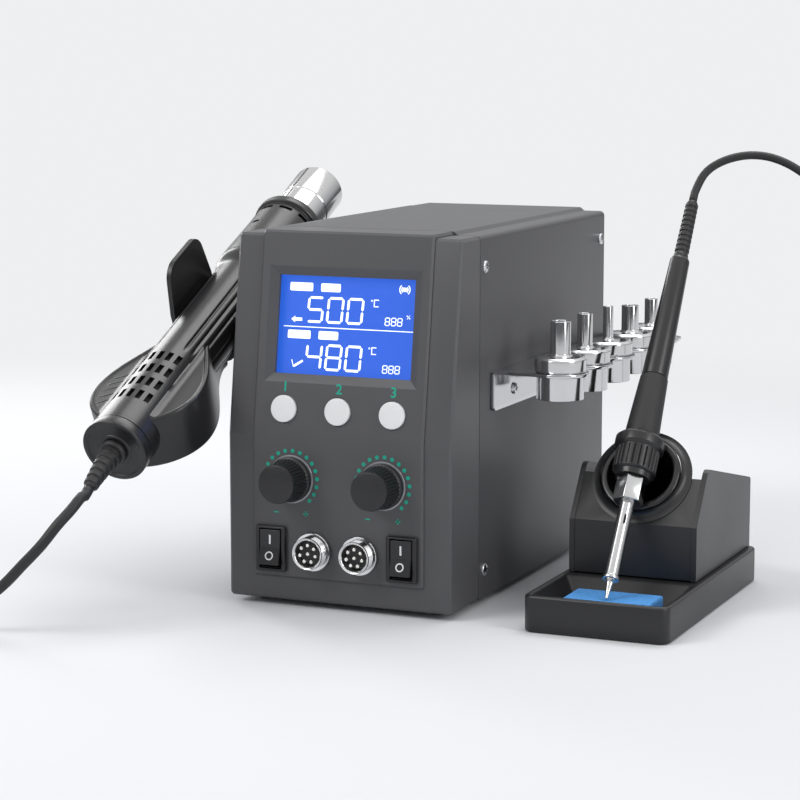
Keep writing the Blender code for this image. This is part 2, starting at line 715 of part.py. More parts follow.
def make_switches():
    """Two rocker switches: housing with its rim and terminals, and the rocker on its pivot."""
    body_w = SWITCH_WIDTH / 2 - 0.75 - FIT
    body_h = SWITCH_HEIGHT / 2 - 0.6 - FIT
    opening_w = ROCKER_WIDTH / 2 + 0.4
    rim_front = -PIECE_GAP - SWITCH_RIM
    pivot = 2.5
    ends = ROCKER_HEIGHT / 2
    valley = rim_front - 0.3
    crest = valley - ends * math.tan(math.radians(ROCKER_SWING))
    for side, name in ((-1, "air"), (1, "iron")):
        x = side * ROCKER_SPACING / 2
        body = blocks(f"{name}_switch_body", [((x - SWITCH_WIDTH / 2, rim_front, ROW_LEVEL - SWITCH_HEIGHT / 2),
                                               (x + SWITCH_WIDTH / 2, -PIECE_GAP,
                                                ROW_LEVEL + SWITCH_HEIGHT / 2))], lower)
        bevel(body, 0.5, 1)
        deep = blocks(f"{name}_switch_deep", [((x - body_w, -PIECE_GAP - 0.5, ROW_LEVEL - body_h),
                                               (x + body_w, SWITCH_DEPTH, ROW_LEVEL + body_h))], lower)
        opening = blocks(f"{name}_switch_opening", [((x - opening_w, rim_front - 2, ROW_LEVEL - ends - 1.2),
                                                     (x + opening_w, 0, ROW_LEVEL + ends + 1.2))], lower)
        well = blocks(f"{name}_switch_well", [((x - opening_w, -1, ROW_LEVEL - ends - 0.8),
                                               (x + opening_w, pivot + 6, ROW_LEVEL + ends + 0.8))], lower)
        tabs = blocks(f"{name}_terminals", [((x - 2.4, SWITCH_DEPTH - 1, ROW_LEVEL + z - 0.4),
                                             (x + 2.4, SWITCH_DEPTH + 6, ROW_LEVEL + z + 0.4)) for z in (-5, 5)],
                      lower)
        join(body, deep, tabs)
        cut(body, opening, well)
        finish(body, BLACK, 0.45)
        outline = [(crest - pivot, -ends), (valley - pivot, 0), (crest - pivot, ends), (-2.5, ends), (-1.0, 4.0),
                   (2.0, 2.2), (2.0, -2.2), (-1.0, -4.0), (-2.5, -ends)][::-1]
        axle = frame(f"{name}_rocker_axle", (x, pivot, ROW_LEVEL), (-ROCKER_SWING, 0, 0), lower)
        rocker = plate(f"{name}_rocker", [outline], ROCKER_WIDTH, (-ROCKER_WIDTH / 2, 0, 0), SIDE_TURN, axle)
        finish(rocker, BLACK, 0.35)


def make_sockets():
    """Two round screw sockets with their pins."""
    for side, name in ((-1, "air"), (1, "iron")):
        axis = (side * SOCKET_SPACING / 2, 0, ROW_LEVEL)
        collar = PIECE_GAP + SOCKET_COLLAR
        rear = PANEL_THICKNESS + FIT
        socket = turned(f"{name}_socket", [
            (SOCKET_RADIUS - 0.4, SOCKET_LENGTH), (SOCKET_RADIUS, SOCKET_LENGTH - 0.4),
            (SOCKET_RADIUS, collar), (SOCKET_FLANGE_RADIUS, collar),
            (SOCKET_FLANGE_RADIUS, PIECE_GAP), (SOCKET_RADIUS + 0.3, PIECE_GAP), (SOCKET_RADIUS + 0.3, -rear),
            (SOCKET_RADIUS + 1.8, -rear), (SOCKET_RADIUS + 1.8, -rear - 3), (SOCKET_RADIUS, -rear - 3),
            (SOCKET_RADIUS, -rear - 6), (SOCKET_BORE, -rear - 6), (SOCKET_BORE, SOCKET_LENGTH)],
            axis, FRONT_TURN, lower, 20, True)
        finish(socket, STEEL, 0.2, 1.0)
        face = SOCKET_LENGTH - 5.0
        insert = turned(f"{name}_socket_insert", [(0, face), (SOCKET_BORE - FIT, face),
                                                  (SOCKET_BORE - FIT, -rear - 7), (0, -rear - 7)],
                        axis, FRONT_TURN, lower, 16)
        ring = [2 * math.pi * k / PIN_COUNT + math.pi / 2 for k in range(PIN_COUNT)]
        places = [(PIN_CIRCLE * math.cos(a), PIN_CIRCLE * math.sin(a)) for a in ring] + [(0, 0)]
        join(insert, rods(f"{name}_pins", places, PIN_RADIUS, -2, SOCKET_LENGTH - 1.0, lower, axis, FRONT_TURN, 6))
        finish(insert, BLACK, 0.5)


def upright(x, y, width, depth, low, high):
    """The corners of a block that stands on its middle."""
    return (x - width / 2, y - depth / 2, low), (x + width / 2, y + depth / 2, high)


def make_transformer(floor):
    """Laminated core with its winding and mounting ears; returns where its front face lies."""
    x = TRANSFORMER_SIDE - HALF + EAR_WIDTH / 2
    y = CASE_DEPTH - TRANSFORMER_REAR - WINDING_DEPTH / 2
    core = blocks("power_transformer", [upright(x, y, CORE_WIDTH, CORE_DEPTH, floor, floor + CORE_HEIGHT)], station)
    winding = blocks("transformer_winding", [upright(x, y, WINDING_WIDTH, WINDING_DEPTH, floor + WINDING_EDGE,
                                                     floor + CORE_HEIGHT - WINDING_EDGE)], station)
    ears = blocks("transformer_ears", [upright(x, y, EAR_WIDTH, EAR_DEPTH, floor, floor + EAR_SHEET)], station)
    bevel(winding, 3, 2)
    join(core, winding, ears)
    finish(core, (0.3, 0.3, 0.32), 0.5, 0.7)
    return y - WINDING_DEPTH / 2


def make_inside():
    """Transformer against the rear, and the lower board with its heat sink, relay and capacitors."""
    floor = UNDERSIDE + SHEET + PIECE_GAP
    rear = make_transformer(floor) - BOARD_GAP
    level = floor + BOARD_LIFT
    top = level + BOARD_THICKNESS
    sunk = top - 0.5
    half = BOARD_WIDTH / 2
    deep = rear - BOARD_START
    middle = BOARD_START + deep / 2
    board = blocks("control_board", [((-half, BOARD_START, level), (half, rear, top))], station)
    posts = rods("board_posts", [(x, y) for x in (-half + POST_INSET, half - POST_INSET)
                                 for y in (BOARD_START + POST_INSET, rear - POST_INSET)],
                 POST_RADIUS, floor, level + 0.5, station, (0, 0, 0), (0, 0, 0), 6)
    sink_x = -half + CONNECTOR_WIDTH + SINK_WIDTH / 2
    sink_y = BOARD_START + deep * SINK_SHARE * 0.85
    pitch = (SINK_WIDTH - FIN_THICKNESS) / (SINK_FINS - 1)
    fins = blocks("heat_sink", [upright(sink_x + (k - (SINK_FINS - 1) / 2) * pitch, sink_y, FIN_THICKNESS,
                                        deep * SINK_SHARE, top + 3, top + SINK_HEIGHT)
                                for k in range(SINK_FINS)], station)
    sink = blocks("heat_sink_base", [upright(sink_x, sink_y, SINK_WIDTH, deep * SINK_SHARE, sunk, top + 4)],
                  station)
    relay = blocks("relay", [upright(half - 1.4 * RELAY_SIDE, BOARD_START + RELAY_SIDE, RELAY_SIDE, RELAY_SIDE,
                                     sunk, top + RELAY_HEIGHT)], station)
    connector = blocks("connector", [upright(half - CONNECTOR_WIDTH, middle, CONNECTOR_WIDTH,
                                             deep * CONNECTOR_SHARE, sunk, top + CONNECTOR_HEIGHT)], station)
    cans = rods("capacitors", [(x * CAN_PITCH, rear - 3 * CAN_RADIUS) for x in (-1.8, -0.8, 0.2)], CAN_RADIUS,
                sunk, top + CAN_HEIGHT, station, (0, 0, 0), (0, 0, 0), 12)
    join(board, posts, sink, fins, relay, connector, cans)
    finish(board, TEAL_BOARD, 0.5)


def make_inlet():
    """Mains socket with its three pins, set in the rear wall."""
    level = UNDERSIDE + INLET_LEVEL
    y = CASE_DEPTH - SHEET + PIECE_GAP
    half_w = INLET_WIDTH / 2
    half_h = INLET_HEIGHT / 2
    face = plate("mains_inlet", [rectangle((-half_w, level - half_h), (half_w, level + half_h), INLET_RIM)],
                 INLET_PLATE, (0, y + INLET_PLATE, 0), FRONT_TURN, station)
    body_w = half_w - INLET_LUG - FIT
    body_h = half_h - INLET_RIM - FIT
    body = blocks("inlet_body", [((-body_w, y - INLET_BODY, level - body_h), (body_w, y + 1, level + body_h))],
                  station)
    mouth_w = INLET_MOUTH_WIDTH / 2
    mouth_h = INLET_MOUTH_HEIGHT / 2
    cut_w = mouth_w - INLET_MOUTH_CORNER
    cut_h = mouth_h - INLET_MOUTH_CORNER
    mouth = [(-mouth_w, level - mouth_h), (mouth_w, level - mouth_h), (mouth_w, level + cut_h),
             (cut_w, level + mouth_h), (-cut_w, level + mouth_h), (-mouth_w, level + cut_h)]
    socket = plate("inlet_socket", [rounded(mouth, 1.0, 2)], INLET_MOUTH_DEPTH + INLET_PLATE + 1,
                   (0, y + INLET_PLATE + 1, 0), FRONT_TURN, station)
    pins = blocks("inlet_pins", [upright(x, y - INLET_MOUTH_DEPTH / 2 - 0.5, 2, INLET_MOUTH_DEPTH + 3,
                                         level + z - 2, level + z + 2)
                                 for x, z in ((-INLET_PIN_SPREAD, -2), (0, 2), (INLET_PIN_SPREAD, -2))], station)
    join(face, body)
    cut(face, socket)
    join(face, pins)
    finish(face, BLACK, 0.45)


def make_rack():
    """Plated shelf with five lobed holes and a flange that is screwed to the right wall."""
    wall = HALF + PIECE_GAP
    row = HALF + NOZZLE_OUT
    centres = [(row, NOZZLE_FIRST + k * NOZZLE_PITCH) for k in range(len(SPOUTS))]
    waist = math.acos(LOBE_WAIST / LOBE_RADIUS)
    outline = [(wall, SHELF_REAR), (wall, SHELF_FRONT)]
    steps = 6
    for k, (x, y) in enumerate(centres):
        start = -math.pi + math.asin((y - SHELF_FRONT) / LOBE_RADIUS) if k == 0 else -waist
        stop = waist if k < len(centres) - 1 else 0.35
        for i in range(steps + 1):
            a = start + (stop - start) * i / steps
            outline.append((x + LOBE_RADIUS * math.cos(a), y + LOBE_RADIUS * math.sin(a)))
    edge = row + LOBE_RADIUS - SHELF_TRIM
    outline += rounded([(edge, SHELF_REAR), (0, SHELF_REAR), (edge, centres[-1][1])], [SHELF_CORNER, 0, 0], 4)[:5]
    holes = [circle(c, RACK_HOLE, 20) for c in centres]
    shelf = plate("nozzle_rack", [outline] + holes, SHELF_SHEET, (0, 0, SHELF_LEVEL - SHELF_SHEET), (0, 0, 0),
                  station)
    flange = blocks("rack_flange", [((wall, SHELF_FRONT, SHELF_LEVEL - FLANGE_HEIGHT),
                                     (wall + SHELF_SHEET, CASE_DEPTH - FLANGE_REAR,
                                      SHELF_LEVEL - SHELF_SHEET / 2))], station)
    join(shelf, flange)
    finish(shelf, STEEL, 0.15, 1.0)
    return centres


def make_nozzles(centres):
    """Five nozzles, spout up, standing in the rack's holes by their skirts."""
    collar = RACK_HOLE + 0.8
    for number, ((x, y), (spout, height)) in enumerate(zip(centres, SPOUTS), 1):
        bore = SKIRT_RADIUS - NOZZLE_WALL
        profile = [(spout, height), (spout, NOZZLE_COLLAR + 1.2), (collar - 1.6, NOZZLE_COLLAR),
                   (collar, NOZZLE_COLLAR - 0.8), (collar, FIT), (SKIRT_RADIUS, FIT),
                   (SKIRT_RADIUS, -NOZZLE_SKIRT), (bore, -NOZZLE_SKIRT), (bore, NOZZLE_COLLAR - 1.2),
                   (spout - NOZZLE_WALL, NOZZLE_COLLAR + 0.4), (spout - NOZZLE_WALL, height)]
        nozzle = turned(f"nozzle_{number}", profile, (x, y, SHELF_LEVEL), (0, 0, 0), station, 18, True)
        finish(nozzle, STEEL, 0.18, 1.0)


def drum_outline():
    """The blower drum seen from above: a half circle that runs into the grip along a cosine."""
    half_end = DRUM_END_WIDTH / 2
    side = []
    for k in range(9):
        a = -math.pi / 2 + (math.pi / 2) * k / 8
        side.append((DRUM_RADIUS * math.cos(a), DRUM_MIDDLE + DRUM_RADIUS * math.sin(a)))
    for k in range(1, 9):
        share = k / 8
        width = half_end + (DRUM_RADIUS - half_end) * (1 + math.cos(math.pi * share)) / 2
        side.append((width, DRUM_MIDDLE + (DRUM_END - DRUM_MIDDLE) * share))
    return side + [(-x, y) for x, y in reversed(side) if x > 0.01]


def make_gun_shell():
    """Handle tube with the blower drum around it, its air slots, and the flare at the neck."""
    rear = CAP_LENGTH + PIECE_GAP
    shell = turned("gun_shell", [(0, SHELL_END), (NECK_RADIUS, SHELL_END), (NECK_RADIUS, SHELL_END - 2),
                                 (GRIP_RADIUS, NECK_START), (GRIP_RADIUS, rear), (0, rear)],
                   (0, 0, 0), ALONG_TURN, gun, 28)
    drum = plate("gun_drum", [drum_outline()], DRUM_TOP - DRUM_BOTTOM, (0, 0, DRUM_BOTTOM), (0, 0, 0), gun)
    bevel(drum, 1.8, 1, 50)
    bore = turned("gun_bore", [(0, SHELL_END + 2), (GRIP_RADIUS - SHELL_WALL, SHELL_END + 2),
                               (GRIP_RADIUS - SHELL_WALL, rear - 2), (0, rear - 2)], (0, 0, 0), ALONG_TURN, gun, 20)
    chamber = rods("gun_chamber", [(0, DRUM_MIDDLE)], CHAMBER_RADIUS, DRUM_BOTTOM - 3, CHAMBER_TOP, gun,
                   (0, 0, 0), (0, 0, 0), 28)
    join(shell, drum)
    cut(shell, bore, chamber)
    for column in range(SLOT_COLUMNS):
        angle = (column - (SLOT_COLUMNS - 1) / 2) * SLOT_ANGLE
        for row in range(SLOT_ROWS):
            s = SLOT_START + row * SLOT_PITCH
            outline = rectangle((-SLOT_WIDTH / 2, -SLOT_LENGTH / 2), (SLOT_WIDTH / 2, SLOT_LENGTH / 2))
            lean = math.radians(angle)
            low = GRIP_RADIUS - SHELL_WALL - 2
            slot = plate("gun_slot", [outline], SHELL_WALL + 4, (low * math.sin(lean), s, low * math.cos(lean)),
                         (0, angle, 0), gun)
            cut(shell, slot)
    finish(shell, BLACK, 0.4)


def make_gun_rear():
    """End cap, the drum's cover, the blower's motor and its impeller."""
    bore = GRIP_RADIUS - SHELL_WALL - FIT
    hole = 4.0
    cap = turned("gun_end_cap", [(bore, CAP_LENGTH + 5), (bore, CAP_LENGTH), (CAP_RADIUS, CAP_LENGTH),
                                 (CAP_RADIUS, 1.0), (CAP_RADIUS - 1.0, 0), (hole, 0), (hole, CAP_LENGTH - 2),
                                 (bore - 2, CAP_LENGTH - 2), (bore - 2, CAP_LENGTH + 5)],
                 (0, 0, 0), ALONG_TURN, gun, 24, True)
    finish(cap, BLACK, 0.45)
    lid_top = DRUM_BOTTOM + SHELL_WALL
    lid = turned("gun_back_cover", [(0, lid_top), (CHAMBER_RADIUS - FIT, lid_top),
                                    (CHAMBER_RADIUS - FIT, DRUM_BOTTOM), (0, DRUM_BOTTOM)],
                 (0, DRUM_MIDDLE, 0), (0, 0, 0), gun, 28)
    finish(lid, BLACK, 0.45)
    foot = lid_top + PIECE_GAP
    top = foot + MOTOR_HEIGHT
    tip = CHAMBER_TOP - 1.0
    motor = turned("gun_fan_motor", [(0, tip), (MOTOR_SHAFT, tip), (MOTOR_SHAFT, top), (MOTOR_RADIUS - 1, top),
                                     (MOTOR_RADIUS, top - 1), (MOTOR_RADIUS, foot), (0, foot)],
                   (0, DRUM_MIDDLE, 0), (0, 0, 0), gun, 16)
    finish(motor, STEEL, 0.3, 0.9)
    spin = frame("gun_impeller_axle", (0, DRUM_MIDDLE, 0), (0, 0, 0), gun)
    base = top + PIECE_GAP
    bore = MOTOR_SHAFT + 0.1
    impeller = turned("gun_impeller", [(4, tip), (4, base + 1.2), (IMPELLER_RADIUS, base + 1.2),
                                       (IMPELLER_RADIUS, base), (bore, base), (bore, tip)],
                      (0, 0, 0), (0, 0, 0), spin, 20, True)
    bm = bmesh.new()
    for k in range(BLADES):
        made = bmesh.ops.create_cube(bm, size=1.0)
        a = 2 * math.pi * k / BLADES
        for v in made["verts"]:
            x = 9.5 + (v.co.x + 0.5) * (IMPELLER_RADIUS - 10.0)
            y = v.co.y * 1.2 + (x - 9.5) * 0.45
            z = base + 0.6 + (v.co.z + 0.5) * (tip - base - 0.6)
            v.co = Vector((x * math.cos(a) - y * math.sin(a), x * math.sin(a) + y * math.cos(a), z)) * UNIT
    blades = mesh_object("impeller_blades", bm, (0, 0, 0), (0, 0, 0), spin)
    join(impeller, blades)
    finish(impeller, (0.75, 0.75, 0.72), 0.5)


def make_gun_front():
    """Slotted collar, steel barrel and the heater core inside it."""
    spigot = GRIP_RADIUS - SHELL_WALL - FIT
    barrel_fit = BARREL_RADIUS + FIT
    start = SHELL_END + PIECE_GAP
    collar = turned("gun_collar", [
        (COLLAR_RING, COLLAR_END), (COLLAR_RING, COLLAR_END - 3), (NECK_RADIUS - 0.8, COLLAR_END - 4),
        (NECK_RADIUS - 0.2, COLLAR_END - 12), (NECK_RADIUS, start), (spigot, start), (spigot, start - 6),
        (spigot - 2.5, start - 6), (spigot - 2.5, BARREL_SEAT - FIT), (barrel_fit, BARREL_SEAT - FIT),
        (barrel_fit, COLLAR_END)], (0, 0, 0), ALONG_TURN, gun, 24, True)
    bm = bmesh.new()
    count = 8
    for k in range(count):
        made = bmesh.ops.create_cube(bm, size=1.0)
        a = 2 * math.pi * (k + 0.5) / count
        for v in made["verts"]:
            x = v.co.x * 7.0
            y = COLLAR_END - 9 + v.co.y * 3.0
            r = NECK_RADIUS + v.co.z * 5.0
            v.co = Vector((x * math.cos(a) + r * math.sin(a), y, r * math.cos(a) - x * math.sin(a))) * UNIT
    cut(collar, mesh_object("collar_slots", bm, (0, 0, 0), (0, 0, 0), gun))
    finish(collar, BLACK, 0.45)
    inner = BARREL_RADIUS - BARREL_WALL
    barrel = turned("gun_barrel", [
        (MOUTH_RADIUS - 0.4, GUN_LENGTH), (MOUTH_RADIUS, GUN_LENGTH - 0.6), (MOUTH_RADIUS, MOUTH_START),
        (BARREL_RADIUS, MOUTH_START), (BARREL_RADIUS, BARREL_SEAT), (inner, BARREL_SEAT),
        (inner, MOUTH_START - 1), (MOUTH_BORE, MOUTH_START), (MOUTH_BORE, GUN_LENGTH)],
        (0, 0, 0), ALONG_TURN, gun, 24, True)
    finish(barrel, STEEL, 0.15, 1.0)
    sleeve = inner - FIT
    front = MOUTH_START - 2
    back = BARREL_SEAT + 1
    heater = turned("gun_heater", [(sleeve, front), (sleeve, back), (sleeve - 0.8, back), (sleeve - 0.8, front)],
                    (0, 0, 0), ALONG_TURN, gun, 16, True)
    cross = blocks("heater_cross", [((-sleeve + 0.4, back + 2, -0.8), (sleeve - 0.4, front - 1, 0.8)),
                                    ((-0.8, back + 2.5, -sleeve + 0.4), (0.8, front - 1.5, sleeve - 0.4))], gun)
    join(heater, cross)
    finish(heater, (0.75, 0.7, 0.6), 0.7)


def make_holder():
    """Cradle for the gun on the left wall, with its tall outer cheek."""
    inner = GRIP_RADIUS + FIT
    outer = inner + CRADLE_WALL
    steps = 12
    arc = [math.pi + math.pi * k / steps for k in range(steps + 1)]
    outline = [(-inner, EAR_HEIGHT)] + [(inner * math.cos(a), inner * math.sin(a)) for a in arc]
    outline += [(inner, CHEEK_HEIGHT), (outer, CHEEK_HEIGHT)]
    outline += [(outer * math.cos(a), outer * math.sin(a)) for a in reversed(arc)]
    outline.append((-outer, EAR_HEIGHT))
    holder = plate("gun_holder", [outline], CRADLE_END - CRADLE_START, (0, CRADLE_END, 0), FRONT_TURN, gun_rest)
    wedge = EAR_HEIGHT + 2
    front_corner = plate("ear_front", [[(CRADLE_START - 1, 8), (CRADLE_START, 8), (CRADLE_START + 6.4, wedge),
                                        (CRADLE_START - 1, wedge)]], 10, (-outer - 5, 0, 0), SIDE_TURN, gun_rest)
    rear_corner = plate("ear_rear", [[(CRADLE_END + 1, 8), (CRADLE_END + 1, wedge), (CRADLE_END - 4.2, wedge),
                                      (CRADLE_END, 8)]], 10, (-outer - 5, 0, 0), SIDE_TURN, gun_rest)
    wall = -HALF - PIECE_GAP - GUN_PLACE[0]
    middle = (CRADLE_START + CRADLE_END) / 2
    arm = blocks("holder_arm", [((outer - 1.2, middle - 12, -5), (wall - 1, middle + 12, 5))], gun_rest)
    back = plate("holder_plate", [rectangle((middle - 21, -16), (middle + 21, 16), 3.0)], 3.0,
                 (wall - 3.0, 0, 0), SIDE_TURN, gun_rest)
    cut(holder, front_corner, rear_corner)
    join(holder, arm, back)
    finish(holder, BLACK, 0.5)


def make_stand():
    """Tray with its sponge well, the housing with its wings, the funnel and the sponge."""
    half = STAND_WIDTH / 2
    rear = STAND_FRONT + STAND_LENGTH
    left = STAND_MIDDLE - half
    right = STAND_MIDDLE + half
    base = plate("stand_base", [rectangle((left, STAND_FRONT), (right, rear), STAND_CORNER, 5)], STAND_HEIGHT,
                 (0, 0, 0), (0, 0, 0), station)
    bevel(base, 1.0, 1, 60)
    well_front = STAND_FRONT + WELL_RIM
    over = 3.0
    share = over / (STAND_HEIGHT - WELL_FLOOR)
    floor_low = (left + WELL_RIM + WELL_SIDE_SLOPE, well_front + WELL_FRONT_SLOPE)
    floor_high = (right - WELL_RIM - WELL_SIDE_SLOPE, well_front + WELL_LENGTH - WELL_REAR_SLOPE)
    top_low = (left + WELL_RIM - WELL_SIDE_SLOPE * share, well_front - WELL_FRONT_SLOPE * share)
    top_high = (right - WELL_RIM + WELL_SIDE_SLOPE * share, well_front + WELL_LENGTH + WELL_REAR_SLOPE * share)
    top = STAND_HEIGHT + over
    well = tapered_block("sponge_well", ((*floor_low, WELL_FLOOR), (*floor_high, WELL_FLOOR)),
                         ((*top_low, top), (*top_high, top)), 2, station)
    under = blocks("stand_underside", [((left + PLASTIC, well_front + WELL_LENGTH + 4, -5),
                                        (right - PLASTIC, rear - PLASTIC, STAND_HEIGHT - PLASTIC))], station)
    cut(base, well, under)
    finish(base, BLACK, 0.45)
    sponge_foot = WELL_FLOOR + PIECE_GAP
    sponge_front = floor_low[1] + SPONGE_CLEARANCE
    sponge = blocks("sponge", [((STAND_MIDDLE - SPONGE_WIDTH / 2, sponge_front, sponge_foot),
                                (STAND_MIDDLE + SPONGE_WIDTH / 2, sponge_front + SPONGE_LENGTH,
                                 sponge_foot + SPONGE_THICKNESS))], station)
    bevel(sponge, 0.8, 1)
    finish(sponge, (0.25, 0.5, 0.85), 0.95)
    make_housing()


def housing_profile(rise, inset, foot):
    """The housing's outline seen from the side, with its top raised and its faces inset."""
    lean = math.radians(HOUSING_LEAN)
    front = HOUSING_FRONT + inset
    rear = HOUSING_REAR - inset
    along = HOUSING_SLOPE + rise - inset
    top_y = front + along * math.sin(lean)
    top_z = HOUSING_KINK + along * math.cos(lean)
    fall = math.tan(math.radians(HOUSING_FALL))
    return [(front, foot), (rear, foot), (rear, top_z - (rear - top_y) * fall), (top_y, top_z),
            (front, HOUSING_KINK)]


def make_housing():
    """Raised cover of the stand between its two wings, and the funnel that takes the iron."""
    foot = STAND_HEIGHT + PIECE_GAP
    left = STAND_MIDDLE - HOUSING_HALF
    housing = plate("stand_housing", [housing_profile(0, HOUSING_STEP, foot + HOUSING_STEP)],
                    2 * HOUSING_HALF - PLASTIC, (left + PLASTIC / 2, 0, 0), SIDE_TURN, station)
    for side in (0, 1):
        x = left + side * (2 * HOUSING_HALF - PLASTIC)
        corners = housing_profile(WING_RISE, 0, foot)
        wing = plate("stand_wing", [rounded(corners, [0, 0, 2.0, 5.0, 0], 4)], PLASTIC, (x, 0, 0), SIDE_TURN,
                     station)
        join(housing, wing)
    wall = PLASTIC + HOUSING_STEP
    hollow = plate("housing_hollow", [housing_profile(0, wall, foot - 5)], 2 * (HOUSING_HALF - wall),
                   (left + wall, 0, 0), SIDE_TURN, station)
    axis = (STAND_MIDDLE, FUNNEL_Y, FUNNEL_Z)
    turn = (90 - FUNNEL_TILT, 0, 0)
    back = FUNNEL_RADIUS - 1.5
    clearance = turned("funnel_clearance", [
        (0, 6), (FUNNEL_RADIUS + FIT, 6), (FUNNEL_RADIUS + FIT, -2.0 - FIT), (back + FIT, -6.0 - FIT),
        (FUNNEL_TUBE + FIT, -7.0 - FIT), (FUNNEL_TUBE + FIT, -FUNNEL_DEPTH - 6), (0, -FUNNEL_DEPTH - 6)],
        axis, turn, station, 24)
    cut(housing, hollow, clearance)
    finish(housing, BLACK, 0.45)
    bore = FUNNEL_RADIUS - FUNNEL_RIM
    funnel = turned("stand_funnel", [
        (FUNNEL_RADIUS - 1.8, 0), (FUNNEL_RADIUS - 0.6, -0.5), (FUNNEL_RADIUS, -1.8), (back, -6.0),
        (FUNNEL_TUBE, -7.0), (FUNNEL_TUBE, -FUNNEL_DEPTH), (FUNNEL_TUBE - 2.2, -FUNNEL_DEPTH),
        (FUNNEL_TUBE - 2.2, -8.0), (bore, -1.2), (bore + 0.8, -0.3)], axis, turn, station, 24, True)
    finish(funnel, BLACK, 0.35)


def iron_tip_y(tip_z):
    """Where the tip stands, so that the grip leans on the funnel's top edge."""
    tilt = math.radians(FUNNEL_TILT)
    lean = math.radians(IRON_LEAN)
    reach = FUNNEL_RADIUS - FUNNEL_RIM / 2
    rest_y = FUNNEL_Y + reach * math.sin(tilt)
    rest_z = FUNNEL_Z + reach * math.cos(tilt)
    distance = IRON_GRIP_RADIUS + FIT
    return rest_y - ((rest_z - tip_z) * math.sin(lean) + distance) / math.cos(lean)


def make_iron():
    """Soldering iron leaning on the funnel with its tip on the sponge."""
    tip_z = WELL_FLOOR + PIECE_GAP + SPONGE_THICKNESS + PIECE_GAP + 0.3
    iron = frame("iron", (STAND_MIDDLE, iron_tip_y(tip_z), tip_z), (-IRON_LEAN, 0, 0), station)
    tip = turned("iron_tip", [(0, NUT_START + 8), (TIP_SHANK, NUT_START + 8), (TIP_SHANK, TIP_LENGTH),
                              (1.7, TIP_LENGTH - 0.6), (0.45, 0.4), (0.25, 0), (0, 0)],
                 (0, 0, 0), (0, 0, 0), iron, 14)
    finish(tip, STEEL, 0.3, 1.0)
    barrel = turned("iron_barrel", [(0, NUT_START + 2), (TUBE_RADIUS, NUT_START + 2), (TUBE_RADIUS, TIP_LENGTH + 2),
                                    (TUBE_RADIUS + 0.4, TIP_LENGTH + 1.6), (TUBE_RADIUS + 0.4, TIP_LENGTH + 0.2),
                                    (0, TIP_LENGTH + 0.2)], (0, 0, 0), (0, 0, 0), iron, 18)
    nut = rods("iron_nut", [(0, 0)], NUT_RADIUS, NUT_START, COLLAR_START - PIECE_GAP, iron, (0, 0, 0),
               (0, 0, 0), 6)
    bevel(nut, 0.5, 1)
    bore = rods("iron_bore", [(0, 0)], TIP_SHANK + FIT, 0, COLLAR_START + 5, iron, (0, 0, 0), (0, 0, 0), 14)
    join(barrel, nut)
    cut(barrel, bore)
    finish(barrel, STEEL, 0.2, 1.0)
    knurl_low = COLLAR_START + 3.2
    knurl_high = COLLAR_TOP - 7.0
    nut_bore = CORE_RADIUS + FIT
    collar = turned("iron_collar_nut", [
        (COLLAR_FLANGE - 1.6, COLLAR_TOP), (COLLAR_FLANGE, COLLAR_TOP - 1.6), (COLLAR_FLANGE, COLLAR_TOP - 5.4),
        (COLLAR_FLANGE - 0.8, COLLAR_TOP - 6.4), (KNURL_RADIUS, knurl_high), (KNURL_RADIUS, knurl_low),
        (KNURL_RADIUS - 1.6, knurl_low - 0.8), (KNURL_RADIUS - 1.9, COLLAR_START), (nut_bore, COLLAR_START),
        (nut_bore, COLLAR_TOP)], (0, 0, 0), (0, 0, 0), iron, 24, True)
    turns = [2 * math.pi * (k + 0.5) / KNURLS for k in range(KNURLS)]
    reach = KNURL_RADIUS + 0.3
    cut(collar, rods("knurl", [(reach * math.cos(a), reach * math.sin(a)) for a in turns], 0.9, knurl_low + 0.6,
                     knurl_high - 0.6, iron, (0, 0, 0), (0, 0, 0), 4))
    finish(collar, BLACK, 0.5)
    grip = turned("iron_grip", [
        (IRON_GRIP_TOP_RADIUS, GRIP_TOP), (IRON_GRIP_RADIUS, COLLAR_TOP + 4), (IRON_GRIP_RADIUS, COLLAR_TOP + FIT),
        (nut_bore, COLLAR_TOP + FIT), (nut_bore, GRIP_TOP)], (0, 0, 0), (0, 0, 0), iron, 20, True)
    finish(grip, BLACK, 0.75)
    handle = turned("iron_handle", [
        (HANDLE_TOP_RADIUS - 0.8, HANDLE_TOP), (HANDLE_TOP_RADIUS, HANDLE_TOP - 1.5),
        (IRON_GRIP_TOP_RADIUS - 0.3, GRIP_TOP + FIT), (CORE_RADIUS, GRIP_TOP + FIT), (CORE_RADIUS, COLLAR_START + 4),
        (TIP_SHANK + 1.0, COLLAR_START + 4), (TIP_SHANK, HANDLE_TOP)], (0, 0, 0), (0, 0, 0), iron, 20, True)
    finish(handle, BLACK, 0.4)
    profile = [(IRON_CORD_RADIUS, RELIEF_TOP)]
    for k in range(RELIEF_RIBS):
        z = RELIEF_TOP - 2.0 - k * 5.2
        r = IRON_CORD_RADIUS + 0.45 + 0.17 * k
        profile += [(r, z), (r, z - 3.0), (r - 0.5, z - 3.3), (r - 0.5, z - 4.9)]
    foot = HANDLE_TOP + FIT
    stem = TIP_SHANK - FIT
    profile += [(3.4, foot + 1.2), (3.4, foot), (stem, foot), (stem, foot - 5), (0, foot - 5)]
    relief = turned("iron_strain_relief", [(0, RELIEF_TOP)] + profile, (0, 0, 0), (0, 0, 0), iron, 12)
    finish(relief, BLACK, 0.7)
    return iron


